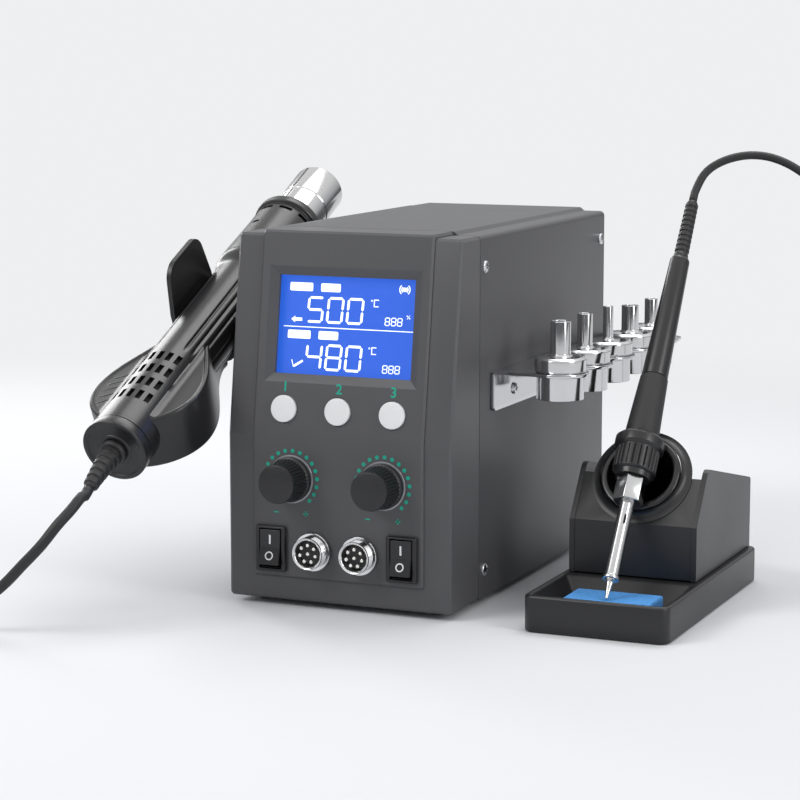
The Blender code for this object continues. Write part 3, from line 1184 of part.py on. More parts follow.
def smooth_route(points, spacing):
    """Points read at an even spacing from a smooth curve through the given points."""
    path = [Vector(p) for p in points]
    ends = [path[0] * 2 - path[1]] + path + [path[-1] * 2 - path[-2]]
    dense = []
    for a, b, c, d in zip(ends, ends[1:], ends[2:], ends[3:]):
        for k in range(12):
            t = k / 12
            dense.append(0.5 * (2 * b + (c - a) * t + (2 * a - 5 * b + 4 * c - d) * t ** 2
                                + (3 * b - a - 3 * c + d) * t ** 3))
    dense.append(path[-1])
    lengths = [0.0]
    for a, b in zip(dense, dense[1:]):
        lengths.append(lengths[-1] + (b - a).length)
    count = max(2, round(lengths[-1] / spacing))
    route = []
    i = 0
    for k in range(count + 1):
        target = lengths[-1] * k / count
        while i < len(lengths) - 2 and lengths[i + 1] < target:
            i += 1
        step = lengths[i + 1] - lengths[i]
        route.append(dense[i].lerp(dense[i + 1], (target - lengths[i]) / step))
    return route


def coil_and_plug(name, middle, outer, radius, heading):
    """A wound coil lying on the bench, and the plug beside it at the cord's end."""
    x, y = middle
    across = 2 * radius * COIL_TURNS_ACROSS
    height = 2 * radius * COIL_LAYERS
    foot = BENCH_CLEARANCE
    r = 0.6 * radius
    profile = rounded([(outer, foot + height), (outer, foot), (outer - across, foot),
                       (outer - across, foot + height)], r, 1)
    coil = turned(f"{name}_cord_coil", profile, (x, y, 0), (0, 0, 0), station, 32, True)
    finish(coil, BLACK, 0.6)
    boot = radius + 1.2
    side = outer - radius
    level = PLUG_RADIUS + BENCH_CLEARANCE
    face = boot - 0.6
    rise = max(0.0, level - (foot + height - r))
    start = math.sqrt((outer + FIT) ** 2 - (side - math.sqrt(face ** 2 - rise ** 2)) ** 2)
    plug = turned(f"{name}_plug", [
        (0, PLUG_LENGTH), (PLUG_RADIUS - 1.2, PLUG_LENGTH), (PLUG_RADIUS - 1.2, PLUG_LENGTH - 4),
        (PLUG_RADIUS, PLUG_LENGTH - 4), (PLUG_RADIUS, 14), (PLUG_RADIUS - 1.5, 12), (PLUG_RADIUS - 1.5, 9),
        (boot, 8), (face, 0), (0, 0)], (x + heading * side, y + start, level),
        ALONG_TURN, station, 16)
    finish(plug, STEEL, 0.25, 0.9)
    return coil


def coil_entry(outer, radius):
    """How far before the coil's tangent point the cord's tube has to end."""
    return math.sqrt((outer + FIT) ** 2 - (outer - 2 * radius) ** 2)


def make_gun_cord():
    """Ribbed strain relief at the end cap, the cord down to the bench, its coil and plug."""
    line = [(0, 4.0, 0), (0, 0.1 - FIT, 0), (0, -FIT, 0), (0, -2.5, 0)]
    sizes = [0.62, 0.62, 1.25, 1.25]
    for k in range(GUN_RELIEF_RIBS):
        for along, size in ((0, 0.86 - 0.03 * k), (GUN_RELIEF_PITCH / 2, 1.06 - 0.05 * k)):
            distance = 3.5 + GUN_RELIEF_PITCH * k + along
            line.append((0, -distance, -GUN_RELIEF_BEND * distance ** 2))
            sizes.append(size)
    distance = 3.5 + GUN_RELIEF_PITCH * GUN_RELIEF_RIBS
    line.append((0, -distance, -GUN_RELIEF_BEND * distance ** 2))
    sizes.append(0.6)
    relief = tube("gun_strain_relief", line, 5.2, gun, sizes, 2)
    finish(relief, BLACK, 0.7)
    coil_and_plug("gun", GUN_COIL, GUN_COIL_RADIUS, GUN_CORD_RADIUS, -1)
    x, y = GUN_COIL
    z = GUN_CORD_RADIUS + BENCH_CLEARANCE
    last = (x + coil_entry(GUN_COIL_RADIUS, GUN_CORD_RADIUS), y - GUN_COIL_RADIUS + GUN_CORD_RADIUS, z)
    end = Vector(line[-1])
    heading = (end - Vector(line[-2])).normalized()
    bpy.context.view_layer.update()
    exits = [tuple(gun.matrix_world @ ((end + heading * step) * UNIT) / UNIT) for step in (FIT, 5.0)]
    route = smooth_route((*exits, *GUN_ROUTE, last), 12.0)
    cord = tube("gun_cord", route, GUN_CORD_RADIUS, station, None, 2)
    finish(cord, BLACK, 0.6)


def make_iron_cord(iron):
    """The iron's cord from its strain relief over to the bench, its coil and plug."""
    coil_and_plug("iron", IRON_COIL, IRON_COIL_RADIUS, IRON_CORD_RADIUS, 1)
    x, y = IRON_COIL
    z = IRON_CORD_RADIUS + BENCH_CLEARANCE
    last = (x - IRON_COIL_RADIUS + IRON_CORD_RADIUS, y + coil_entry(IRON_COIL_RADIUS, IRON_CORD_RADIUS), z)
    bpy.context.view_layer.update()
    exits = [tuple(iron.matrix_world @ Vector((0, 0, (RELIEF_TOP + step) * UNIT)) / UNIT) for step in (FIT, 5.0)]
    route = smooth_route((*exits, *IRON_ROUTE, last), 10.0)
    cord = tube("iron_cord", route, IRON_CORD_RADIUS, station, None, 2)
    finish(cord, BLACK, 0.6)


def bake(objects):
    """Turn each piece's modifiers into its mesh, shade it smooth and give it its material."""
    bpy.context.view_layer.update()
    depsgraph = bpy.context.evaluated_depsgraph_get()
    meshes = {obj: bpy.data.meshes.new_from_object(obj.evaluated_get(depsgraph)) for obj in objects}
    for obj, mesh in meshes.items():
        obj.modifiers.clear()
        obj.data = mesh
        mesh.name = obj.name
        mesh.materials.clear()
        mesh.materials.append(bpy.data.materials[obj["finish"]])
        mesh.shade_smooth()
        mesh.set_sharp_from_angle(angle=math.radians(35))


def stand_on_origin(objects):
    """Move the station so that the middle of its footprint, without the cords, is the origin."""
    loose = ("gun_strain_relief", "gun_cord", "gun_cord_coil", "gun_plug", "iron_strain_relief", "iron_cord",
             "iron_cord_coil", "iron_plug")
    low = Vector((1e9, 1e9, 1e9))
    high = -low
    for obj in objects:
        if obj.name in loose:
            continue
        for v in obj.data.vertices:
            p = obj.matrix_world @ v.co
            low = Vector(map(min, low, p))
            high = Vector(map(max, high, p))
    station.location = (-(low.x + high.x) / 2, -(low.y + high.y) / 2, 0)
    bpy.context.view_layer.update()


make_bezel()
make_cover()
make_chassis()
make_feet()
make_screen()
make_buttons()
make_knobs()
make_switches()
make_sockets()
make_inside()
make_inlet()
make_nozzles(make_rack())
make_gun_shell()
make_gun_rear()
make_gun_front()
make_holder()
make_stand()
soldering_iron = make_iron()
make_gun_cord()
make_iron_cord(soldering_iron)
pieces = [obj for obj in parts.objects if obj.type == "MESH"]
bake(pieces)
stand_on_origin(pieces)
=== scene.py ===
"""Hot air rework station: the cabinet, the gun in its cradle, the nozzle rack and the iron on its stand.

Sizes are in millimetres in the station's own frame: X to the right along the front, Y to the rear,
Z up from the bench, with the origin below the middle of the front panel.
"""

import math

import bmesh
import bpy
import numpy as np
from mathutils import Matrix, Vector


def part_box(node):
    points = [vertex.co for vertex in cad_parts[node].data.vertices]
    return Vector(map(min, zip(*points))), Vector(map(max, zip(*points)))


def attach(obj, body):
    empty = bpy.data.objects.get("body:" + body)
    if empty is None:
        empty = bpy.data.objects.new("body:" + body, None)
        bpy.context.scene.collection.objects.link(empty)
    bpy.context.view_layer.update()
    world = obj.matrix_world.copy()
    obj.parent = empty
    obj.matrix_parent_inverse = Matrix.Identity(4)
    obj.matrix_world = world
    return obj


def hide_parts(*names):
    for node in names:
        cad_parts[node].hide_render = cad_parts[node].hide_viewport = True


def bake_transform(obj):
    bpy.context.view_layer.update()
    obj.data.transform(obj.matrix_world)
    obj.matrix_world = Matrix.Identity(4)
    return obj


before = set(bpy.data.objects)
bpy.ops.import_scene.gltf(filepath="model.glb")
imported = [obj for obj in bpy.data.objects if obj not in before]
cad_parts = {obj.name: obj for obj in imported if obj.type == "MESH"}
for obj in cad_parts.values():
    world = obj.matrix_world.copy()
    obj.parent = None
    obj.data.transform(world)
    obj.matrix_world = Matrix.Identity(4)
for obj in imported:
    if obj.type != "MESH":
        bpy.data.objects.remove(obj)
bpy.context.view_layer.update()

# Camera: a long lens to the right of the front, a little above the knobs.
# The station's origin is found from the cover, whose rear edge is the cabinet's depth from the panel.
MM = 0.001
case_depth = 208.9
cover_low, cover_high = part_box("cover")
home = Vector(((cover_low[0] + cover_high[0]) / 2, cover_high[1] - case_depth * MM, 0))


def local_frame(place, tilt=0.0):
    """Frame of a group of pieces: its place in the station, turned about X by tilt degrees."""
    moved = Matrix.Translation(home + Vector(place) * MM)
    return moved @ Matrix.Rotation(math.radians(tilt), 4, "X")


camera_data = bpy.data.cameras.new("camera")
camera_data.sensor_width = 36.0
camera_data.lens = 112.24
camera_data.clip_start = 0.05
camera = bpy.data.objects.new("camera", camera_data)
bpy.context.scene.collection.objects.link(camera)
camera.location = home + Vector((463.0, -1003.0, 259.7)) * MM
aim = home + Vector((31.16, 0.0, 98.89)) * MM
camera.rotation_euler = (aim - camera.location).to_track_quat("-Z", "Y").to_euler()
bpy.context.scene.camera = camera
bpy.context.scene.view_settings.view_transform = "Standard"


# Cords: black PVC cable, 4.8 mm on the gun and 3.9 mm on the iron. Each leaves its ribbed sleeve,
# falls to the bench and ends in a neat coil of about six turns with its plug beside it.
def smooth_route(points, spacing):
    """Points read at an even spacing from a Catmull-Rom curve through the given points."""
    path = np.array(points, float)
    path = np.vstack([2 * path[0] - path[1], path, 2 * path[-1] - path[-2]])
    t = np.linspace(0, 1, 24, endpoint=False)[:, None]
    spans = []
    for a, b, c, d in zip(path, path[1:], path[2:], path[3:]):
        spans.append(0.5 * (2 * b + (c - a) * t + (2 * a - 5 * b + 4 * c - d) * t**2
                            + (3 * b - a - 3 * c + d) * t**3))
    dense = np.vstack(spans + [path[-2:-1]])
    run = np.concatenate([[0], np.cumsum(np.linalg.norm(np.diff(dense, axis=0), axis=1))])
    even = np.linspace(0, run[-1], max(2, round(run[-1] / spacing)) + 1)
    return np.stack([np.interp(even, run, dense[:, i]) for i in range(3)], axis=1)


def coil_path(centre, outer, radius, start_angle, turn, laps, floor):
    """A wound coil: three turns spiral in on the bench, the cord climbs one diameter, and the rest
    spiral out on top. The distance from the centre falls and grows again by one diameter a turn.
    """
    across, climb, step = 3, 0.4, 2 * radius
    t = np.linspace(0, laps, int(laps * 40) + 1)
    inward = np.minimum(t, across)
    outward = np.clip(t - across - climb, 0, across)
    reach = outer - radius - step * (inward - outward)
    height = floor + radius + step * np.clip((t - across) / climb, 0, 1)
    angle = np.radians(start_angle) + turn * 2 * np.pi * t
    return np.stack([centre[0] + reach * np.cos(angle), centre[1] + reach * np.sin(angle), height], axis=1)


def add_node(tree, kind, inputs=None, **settings):
    """A new shader node with its settings made and the given inputs filled in."""
    node = tree.nodes.new(f"ShaderNode{kind}")
    for setting, value in settings.items():
        setattr(node, setting, value)
    for socket, value in (inputs or {}).items():
        node.inputs[socket].default_value = value
    return node


def wire(tree, *wires):
    """Links between nodes, each given as node, output, node, input."""
    for source, output, target, socket in wires:
        tree.links.new(source.outputs[output], target.inputs[socket])


def new_material(name, inputs):
    """A material with its node tree and its main shader, whose given inputs are filled in."""
    material = bpy.data.materials.new(name)
    material.use_nodes = True
    shader = material.node_tree.nodes["Principled BSDF"]
    for socket, value in inputs.items():
        shader.inputs[socket].default_value = value
    return material, material.node_tree, shader


def cord_material(name):
    """Soft black cable sheath: a fine grain and long soft changes in its gloss."""
    material, tree, shader = new_material(name, {"Specular IOR Level": 0.45})
    place = add_node(tree, "TexCoord")
    broad = add_node(tree, "TexNoise", {"Scale": 60})
    fine = add_node(tree, "TexNoise", {"Scale": 2600})
    tone = add_node(tree, "MapRange", {"To Min": 0.42, "To Max": 0.62})
    shade = add_node(tree, "Mix", {"A": (0.010, 0.010, 0.011, 1), "B": (0.020, 0.020, 0.021, 1)},
                     data_type="RGBA")
    bump = add_node(tree, "Bump", {"Strength": 0.12, "Distance": 0.0001})
    wire(tree, (place, "Object", broad, "Vector"), (place, "Object", fine, "Vector"),
         (broad, "Fac", tone, "Value"), (tone, "Result", shader, "Roughness"),
         (broad, "Fac", shade, "Factor"), (shade, "Result", shader, "Base Color"),
         (fine, "Fac", bump, "Height"), (bump, "Normal", shader, "Normal"))
    return material


def make_cord(name, points, radius, material):
    """A round tube along points, closed at both ends. Its rings stand square to the line, on an
    upright and a level direction, and the middle of each end is a single point.
    """
    segments = 20
    along = np.gradient(points, axis=0)
    along /= np.linalg.norm(along, axis=1)[:, None]
    level = np.cross(along, (0.0, 0.0, 1.0))
    level /= np.linalg.norm(level, axis=1)[:, None]
    upright = np.cross(level, along)
    a = np.linspace(0, 2 * np.pi, segments, endpoint=False)[None, :, None]
    rings = points[:, None] + radius * (level[:, None] * np.cos(a) + upright[:, None] * np.sin(a))
    count = len(points)
    r, c = np.arange(count - 1)[:, None] * segments, np.arange(segments)[None, :]
    c2 = (c + 1) % segments
    quads = np.stack([r + c, r + c2, r + segments + c2, r + segments + c], -1).reshape(-1, 4)
    first, last = count * segments, count * segments + 1
    base = (count - 1) * segments
    fans = [(first, int(j), int(i)) for i, j in zip(c[0], c2[0])]
    fans += [(last, int(base + i), int(base + j)) for i, j in zip(c[0], c2[0])]
    world = np.vstack([rings.reshape(-1, 3), points[:1], points[-1:]]) * MM + np.array(home)
    mesh = bpy.data.meshes.new(name)
    mesh.from_pydata(world.tolist(), [], quads.tolist() + fans)
    mesh.materials.append(material)
    mesh.shade_smooth()
    cord = bpy.data.objects.new(name, mesh)
    bpy.context.scene.collection.objects.link(cord)
    return cord


gun_frame = local_frame((-86.0, -49.0, 75.8), 25.8)
iron_frame = local_frame((123.25, 14.609, 13.8), -36.1)
relief_bend = 0.003
gun_cord_radius = 2.4
iron_cord_radius = 1.95
bench = 0.15


def in_station(matrix, point):
    """A point of a piece's own frame, in the station's millimetres."""
    return tuple((matrix @ (Vector(point) * MM) - home) / MM)


gun_exit = 25.7
gun_leaves = [in_station(gun_frame, (0, -s, -relief_bend * s * s))
              for s in (gun_exit, gun_exit + 2.5, gun_exit + 5)]
gun_route = [(-86.2, -77.6, 60.0), (-88.0, -84.0, 55.0), (-91.5, -90.0, 49.0), (-97.0, -94.5, 40.5),
             (-106.0, -95.5, 31.3), (-116.0, -96.0, 21.5), (-129.0, -98.0, 11.5), (-143.5, -99.8, 5.0),
             (-158.0, -100.5, 2.8), (-172.0, -100.5, 2.55), (-188.0, -100.6, 2.55)]
gun_coil_place, gun_coil_radius = (-203.0, -72.0), 31.0
gun_coil = coil_path(gun_coil_place, gun_coil_radius, gun_cord_radius, -90, -1, 6.25, bench)
gun_plug_base = (gun_coil_place[0] - gun_coil_radius + 2.5, gun_coil_place[1] + 19.0, 8.6)
gun_tail = smooth_route([tuple(gun_coil[-1]), gun_plug_base], 6.0)[1:]
iron_leaves = [in_station(iron_frame, (0, 0, s)) for s in (206.4, 209.0, 211.4)]
iron_route = [(126.0, 143.5, 192.5), (130.5, 147.0, 197.3), (138.0, 150.5, 200.8), (147.0, 153.5, 202.2),
              (157.0, 155.0, 200.9), (168.0, 156.0, 196.0), (178.5, 156.5, 187.5), (187.5, 156.0, 173.0),
              (193.0, 154.5, 152.0), (196.5, 152.0, 125.0), (199.0, 149.5, 95.0), (201.5, 147.0, 66.0),
              (205.0, 144.5, 40.0), (211.0, 140.5, 19.0), (219.0, 133.0, 6.0), (225.5, 122.5, 2.4),
              (228.0, 107.0, 2.1)]
iron_coil_place, iron_coil_radius = (254.0, 92.0), 28.0
iron_coil = coil_path(iron_coil_place, iron_coil_radius, iron_cord_radius, 180, 1, 6.5, bench)
iron_plug_base = (iron_coil_place[0] + iron_coil_radius - 2.0, iron_coil_place[1] + 15.5, 8.6)
iron_tail = smooth_route([tuple(iron_coil[-1]), iron_plug_base], 6.0)[1:]

sheath = cord_material("cable_sheath")
gun_line = np.vstack([smooth_route(gun_leaves + gun_route, 2.5)[:-1], gun_coil, gun_tail])
iron_line = np.vstack([smooth_route(iron_leaves + iron_route, 2.5)[:-1], iron_coil, iron_tail])
gun_cord = make_cord("gun_cable", gun_line, gun_cord_radius, sheath)
iron_cord = make_cord("iron_cable", iron_line, iron_cord_radius, sheath)
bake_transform(gun_cord)
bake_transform(iron_cord)
cords = [(gun_cord, gun_line, gun_cord_radius, "gun"), (iron_cord, iron_line, iron_cord_radius, "iron")]
for cord, line, radius, name in cords:
    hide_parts(f"{name}_cord", f"{name}_cord_coil")

# Stage: a pale seamless floor under soft boxes, with a dim even room around it. Metal sees a room
# that is bright above and dark at the sides, as in a light tent.
floor_mesh = bpy.data.meshes.new("floor")
reach = 6.0
floor_mesh.from_pydata([(-reach, -reach, 0), (reach, -reach, 0), (reach, reach, 0), (-reach, reach, 0)], [],
                       [(0, 1, 2, 3)])
floor = bpy.data.objects.new("floor", floor_mesh)
bpy.context.scene.collection.objects.link(floor)
floor.location.z = -0.0002
pale = (0.86, 0.865, 0.875, 1)
paper, paper_tree, paper_shader = new_material("floor_paper", {
    "Base Color": (0.80, 0.805, 0.815, 1), "Roughness": 0.9, "Specular IOR Level": 0.1})
spot = add_node(paper_tree, "TexCoord")
far = add_node(paper_tree, "VectorMath", operation="LENGTH")
fade = add_node(paper_tree, "MapRange", {"From Min": 0.32, "From Max": 0.95}, interpolation_type="SMOOTHSTEP")
ray_kind = add_node(paper_tree, "LightPath")
direct_ray = add_node(paper_tree, "Math", operation="MAXIMUM")
clear_ray = add_node(paper_tree, "Math", operation="MAXIMUM")
amount = add_node(paper_tree, "Math", operation="MULTIPLY")
haze = add_node(paper_tree, "Emission", {"Color": pale})
blended = add_node(paper_tree, "MixShader")
wire(paper_tree, (spot, "Object", far, 0), (far, "Value", fade, "Value"),
     (ray_kind, "Is Camera Ray", direct_ray, 0), (ray_kind, "Is Glossy Ray", direct_ray, 1),
     (direct_ray, 0, clear_ray, 0), (ray_kind, "Is Transmission Ray", clear_ray, 1),
     (fade, "Result", amount, 0), (clear_ray, 0, amount, 1), (amount, 0, blended, "Fac"),
     (paper_shader, "BSDF", blended, 1), (haze, "Emission", blended, 2),
     (blended, "Shader", paper_tree.nodes["Material Output"], "Surface"))
floor_mesh.materials.append(paper)

world = bpy.data.worlds.new("room")
bpy.context.scene.world = world
world.use_nodes = True
sky = world.node_tree
backdrop = sky.nodes["Background"]
backdrop.inputs["Strength"].default_value = 1.0
rays = add_node(sky, "LightPath")
direction = add_node(sky, "TexCoord")
split = add_node(sky, "SeparateXYZ")
half = add_node(sky, "Math", {1: 0.5, 2: 0.5}, operation="MULTIPLY_ADD")
bands = add_node(sky, "ValToRGB")
ramp = bands.color_ramp.elements
ramp[0].position, ramp[0].color = 0.30, (0.30, 0.31, 0.33, 1)
ramp[1].position, ramp[1].color = 0.80, (1.0, 1.0, 1.0, 1)
ramp.new(0.50).color = (0.06, 0.062, 0.068, 1)
ramp.new(0.60).color = (0.55, 0.56, 0.58, 1)
seen = add_node(sky, "Mix", {"A": (0.42, 0.43, 0.45, 1)}, data_type="RGBA")
shown = add_node(sky, "Mix", {"B": pale}, data_type="RGBA")
see_through = add_node(sky, "Math", operation="MAXIMUM")
wire(sky, (direction, "Generated", split, 0), (split, "Z", half, 0), (half, 0, bands, "Fac"),
     (rays, "Is Glossy Ray", seen, "Factor"), (bands, "Color", seen, "B"),
     (rays, "Is Camera Ray", see_through, 0), (rays, "Is Transmission Ray", see_through, 1),
     (see_through, 0, shown, "Factor"), (seen, "Result", shown, "A"), (shown, "Result", backdrop, "Color"))


def soft_box(name, place, target, size, power):
    """An area lamp of the given width and height, aimed at a point."""
    lamp_data = bpy.data.lights.new(name, "AREA")
    lamp_data.shape = "RECTANGLE"
    lamp_data.size, lamp_data.size_y = size
    lamp_data.energy = power
    lamp = bpy.data.objects.new(name, lamp_data)
    bpy.context.scene.collection.objects.link(lamp)
    lamp.location = place
    lamp.rotation_euler = (Vector(target) - Vector(place)).to_track_quat("-Z", "Y").to_euler()


soft_box("key_box", (-0.75, -0.95, 1.05), (0, 0, 0.08), (0.7, 0.7), 9.0)
soft_box("side_box", (1.15, -0.35, 0.55), (0, 0, 0.1), (0.35, 0.9), 5.0)
soft_box("top_box", (0.1, 0.35, 1.15), (0, 0, 0.1), (0.9, 0.5), 5.5)
soft_box("left_rim", (-0.9, 0.55, 0.5), (-0.1, 0, 0.12), (0.25, 0.8), 4.0)

# Chassis, boards and transformer: zinc-plated sheet on the chassis, transformer and fan motor, and green
# boards, hidden behind the cover except for the rear wall. The hidden ones keep their CAD meshes and get real
# finishes.


def finish(name, colour, roughness, metallic=0.0, tone=0.12, gloss=0.1, grain=0.12, grain_scale=1800.0,
           broad_scale=35.0, stretch=(1, 1, 1)):
    """A worn, uneven surface on Object coordinates.

    Broad noise shifts the colour by the share tone and the roughness by gloss, fine noise is its
    grain as bump, and stretch draws the pattern out along an axis, as brushing does.
    """
    material, tree, shader = new_material(name, {"Metallic": metallic})
    place = add_node(tree, "TexCoord")
    mapping = add_node(tree, "Mapping", {"Scale": stretch})
    broad = add_node(tree, "TexNoise", {"Scale": broad_scale, "Detail": 5})
    fine = add_node(tree, "TexNoise", {"Scale": grain_scale, "Detail": 2})
    darker = (*(c * (1 - tone) for c in colour), 1)
    lighter = (*(min(1, c * (1 + tone)) for c in colour), 1)
    shade = add_node(tree, "Mix", {"A": darker, "B": lighter}, data_type="RGBA")
    rough = add_node(tree, "MapRange", {"To Min": max(0.03, roughness - gloss),
                                        "To Max": min(1, roughness + gloss)})
    bump = add_node(tree, "Bump", {"Strength": grain, "Distance": 0.0001})
    wire(tree, (place, "Object", mapping, "Vector"), (mapping, "Vector", broad, "Vector"),
         (mapping, "Vector", fine, "Vector"), (broad, "Fac", shade, "Factor"), (broad, "Fac", rough, "Value"),
         (shade, "Result", shader, "Base Color"), (rough, "Result", shader, "Roughness"),
         (fine, "Fac", bump, "Height"), (bump, "Normal", shader, "Normal"))
    return material


def paint_node(node, material):
    """A CAD node keeps its mesh and takes a finish of the scene."""
    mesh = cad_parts[node].data
    mesh.materials.clear()
    mesh.materials.append(material)


zinc = finish("zinc_sheet", (0.42, 0.43, 0.44), 0.38, 0.9, 0.1, 0.12, 0.1, 900, 60)
board_green = finish("board_green", (0.012, 0.11, 0.05), 0.4, 0.0, 0.2, 0.1, 0.05)
for node in ("power_transformer", "gun_fan_motor"):
    paint_node(node, zinc)
for node in ("display_board", "control_board"):
    paint_node(node, board_green)
for node in ("air_pot", "heat_pot"):
    paint_node(node, finish(f"{node}_metal", (0.5, 0.42, 0.28), 0.35, 0.9))
paint_node("gun_impeller", finish("impeller_nylon", (0.7, 0.7, 0.67), 0.5))


def softened(name, node, material, body, width, segments=2, angle=25.0, corner=None, corner_radius=0.0):
    """A CAD node with its edges rounded: its triangles are merged, flat areas joined, and a Bevel
    of the given width runs along every edge sharper than angle degrees. The edges that corner
    picks are rounded first, by corner_radius millimetres.
    """
    bm = bmesh.new()
    bm.from_mesh(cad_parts[node].data)
    bmesh.ops.remove_doubles(bm, verts=bm.verts, dist=0.000002)
    bmesh.ops.dissolve_limit(bm, angle_limit=math.radians(0.6), verts=bm.verts, edges=bm.edges)
    if corner:
        picked = [edge for edge in bm.edges if corner(edge)]
        bmesh.ops.bevel(bm, geom=picked, offset=corner_radius * MM, segments=7, profile=0.5, affect="EDGES")
    mesh = bpy.data.meshes.new(name)
    bm.to_mesh(mesh)
    bm.free()
    mesh.materials.append(material)
    mesh.shade_smooth()
    mesh.set_sharp_from_angle(angle=math.radians(32))
    obj = bpy.data.objects.new(name, mesh)
    bpy.context.scene.collection.objects.link(obj)
    bevel = obj.modifiers.new("Bevel", "BEVEL")
    bevel.width = width * MM
    bevel.segments = segments
    bevel.limit_method = "ANGLE"
    bevel.angle_limit = math.radians(angle)
    bevel.harden_normals = True
    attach(obj, body)
    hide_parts(node)
    return obj


softened("rear_wall", "chassis", zinc, "cabinet", 0.2, 1)
inlet_black = finish("inlet_black", (0.02, 0.02, 0.021), 0.4)
softened("mains_socket", "mains_inlet", inlet_black, "cabinet", 0.35, 2)

# Cover: 1.2 mm steel folded over the chassis, powder coated dark grey. Round-headed screws hold it
# at the four corners of each side, and two more hold the rear wall's edges.
FACE_TURN = Matrix.Rotation(math.radians(90), 4, "X")
STATION = local_frame((0, 0, 0))


def grid_faces(rows, columns, close_rows=False, close_columns=False):
    """Quads of a grid of rows by columns points, counted row by row, closed round where asked."""
    r = np.arange(rows if close_rows else rows - 1)[:, None]
    c = np.arange(columns if close_columns else columns - 1)[None, :]
    r2, c2 = (r + 1) % rows, (c + 1) % columns
    corners = np.broadcast_arrays(r * columns + c, r * columns + c2, r2 * columns + c2, r2 * columns + c)
    return np.stack(corners, -1).reshape(-1, 4)


def turned(profile, segments=64, loop=False):
    """Surface of revolution: each (radius, height) of the profile is carried round the Z axis."""
    profile = np.array(profile, float)
    angle = np.linspace(0, 2 * np.pi, segments, endpoint=False)
    points = np.empty((len(profile), segments, 3))
    points[..., 0] = profile[:, :1] * np.cos(angle)
    points[..., 1] = profile[:, :1] * np.sin(angle)
    points[..., 2] = profile[:, 1:]
    return points.reshape(-1, 3), grid_faces(len(profile), segments, loop, True)


def rounded(points, radius, steps=4, closed=True):
    """A line with its corners turned into arcs. Each corner is cut back by radius / tan(half its
    angle), and the arc runs between the two cuts about the point on the corner's bisector.
    """
    points = [np.array(p, float) for p in points]
    radii = radius if isinstance(radius, (list, tuple)) else [radius] * len(points)
    line = []
    for i, (p, r) in enumerate(zip(points, radii)):
        if r <= 0 or (not closed and i in (0, len(points) - 1)):
            line.append(tuple(p))
            continue
        back, ahead = points[i - 1] - p, points[(i + 1) % len(points)] - p
        near = min(np.linalg.norm(back), np.linalg.norm(ahead))
        back, ahead = back / np.linalg.norm(back), ahead / np.linalg.norm(ahead)
        half_angle = math.acos(max(-1, min(1, float(back @ ahead)))) / 2
        if half_angle > 1.55:
            line.append(tuple(p))
            continue
        r = min(r, 0.49 * near * math.tan(half_angle))
        bisector = (back + ahead) / np.linalg.norm(back + ahead)
        middle = p + bisector * r / math.sin(half_angle)
        cut_back = r / math.tan(half_angle)
        first, last = p + back * cut_back - middle, p + ahead * cut_back - middle
        start = math.atan2(first[1], first[0])
        sweep = math.remainder(math.atan2(last[1], last[0]) - start, 2 * math.pi)
        a = start + sweep * np.linspace(0, 1, steps + 1)
        line += list(zip(middle[0] + r * np.cos(a), middle[1] + r * np.sin(a)))
    return line


def curve_mesh(curve):
    """Points in millimetres and faces of a filled curve."""
    obj = bpy.data.objects.new(curve.name, curve)
    bpy.context.scene.collection.objects.link(obj)
    bpy.context.view_layer.update()
    mesh = bpy.data.meshes.new_from_object(obj.evaluated_get(bpy.context.evaluated_depsgraph_get()))
    points = np.empty(len(mesh.vertices) * 3)
    mesh.vertices.foreach_get("co", points)
    faces = [tuple(p.vertices) for p in mesh.polygons]
    bpy.data.objects.remove(obj, do_unlink=True)
    bpy.data.meshes.remove(mesh)
    return points.reshape(-1, 3) / MM, faces


def slab(outlines, low, high, edge=0.0):
    """A flat piece between two heights: the first outline with the others as holes, and its edges
    rounded by edge. It is a filled 2D curve, made a mesh.
    """
    curve = bpy.data.curves.new("slab", "CURVE")
    curve.dimensions = "2D"
    curve.fill_mode = "BOTH"
    curve.extrude = ((high - low) / 2 - edge) * MM
    curve.bevel_depth = edge * MM
    curve.bevel_resolution = 2
    curve.offset = -edge * MM
    for outline in outlines:
        spline = curve.splines.new("POLY")
        spline.points.add(len(outline) - 1)
        spline.use_cyclic_u = True
        flat = np.array([(x * MM, y * MM, 0, 1) for x, y in outline])
        spline.points.foreach_set("co", flat.ravel())
    points, faces = curve_mesh(curve)
    return points + (0, 0, (low + high) / 2), faces


def rectangle(half_x, half_y, x=0.0, y=0.0):
    """Corners of a rectangle about x, y, anticlockwise from the lower left one."""
    left, right, low, high = x - half_x, x + half_x, y - half_y, y + half_y
    return [(left, low), (right, low), (right, high), (left, high)]


def circle(radius, x=0.0, y=0.0, count=20):
    """Even points on a circle about x, y."""
    return [(x + radius * math.cos(a), y + radius * math.sin(a))
            for a in np.linspace(0, 2 * np.pi, count, endpoint=False)]


def moved(shape, place=(0, 0, 0), turns=()):
    """A shape turned about the named axes in order, then moved."""
    points, faces = shape
    matrix = np.eye(3)
    for axis, degrees in turns:
        matrix = np.array(Matrix.Rotation(math.radians(degrees), 3, axis)) @ matrix
    return np.asarray(points) @ matrix.T + np.array(place, float), faces


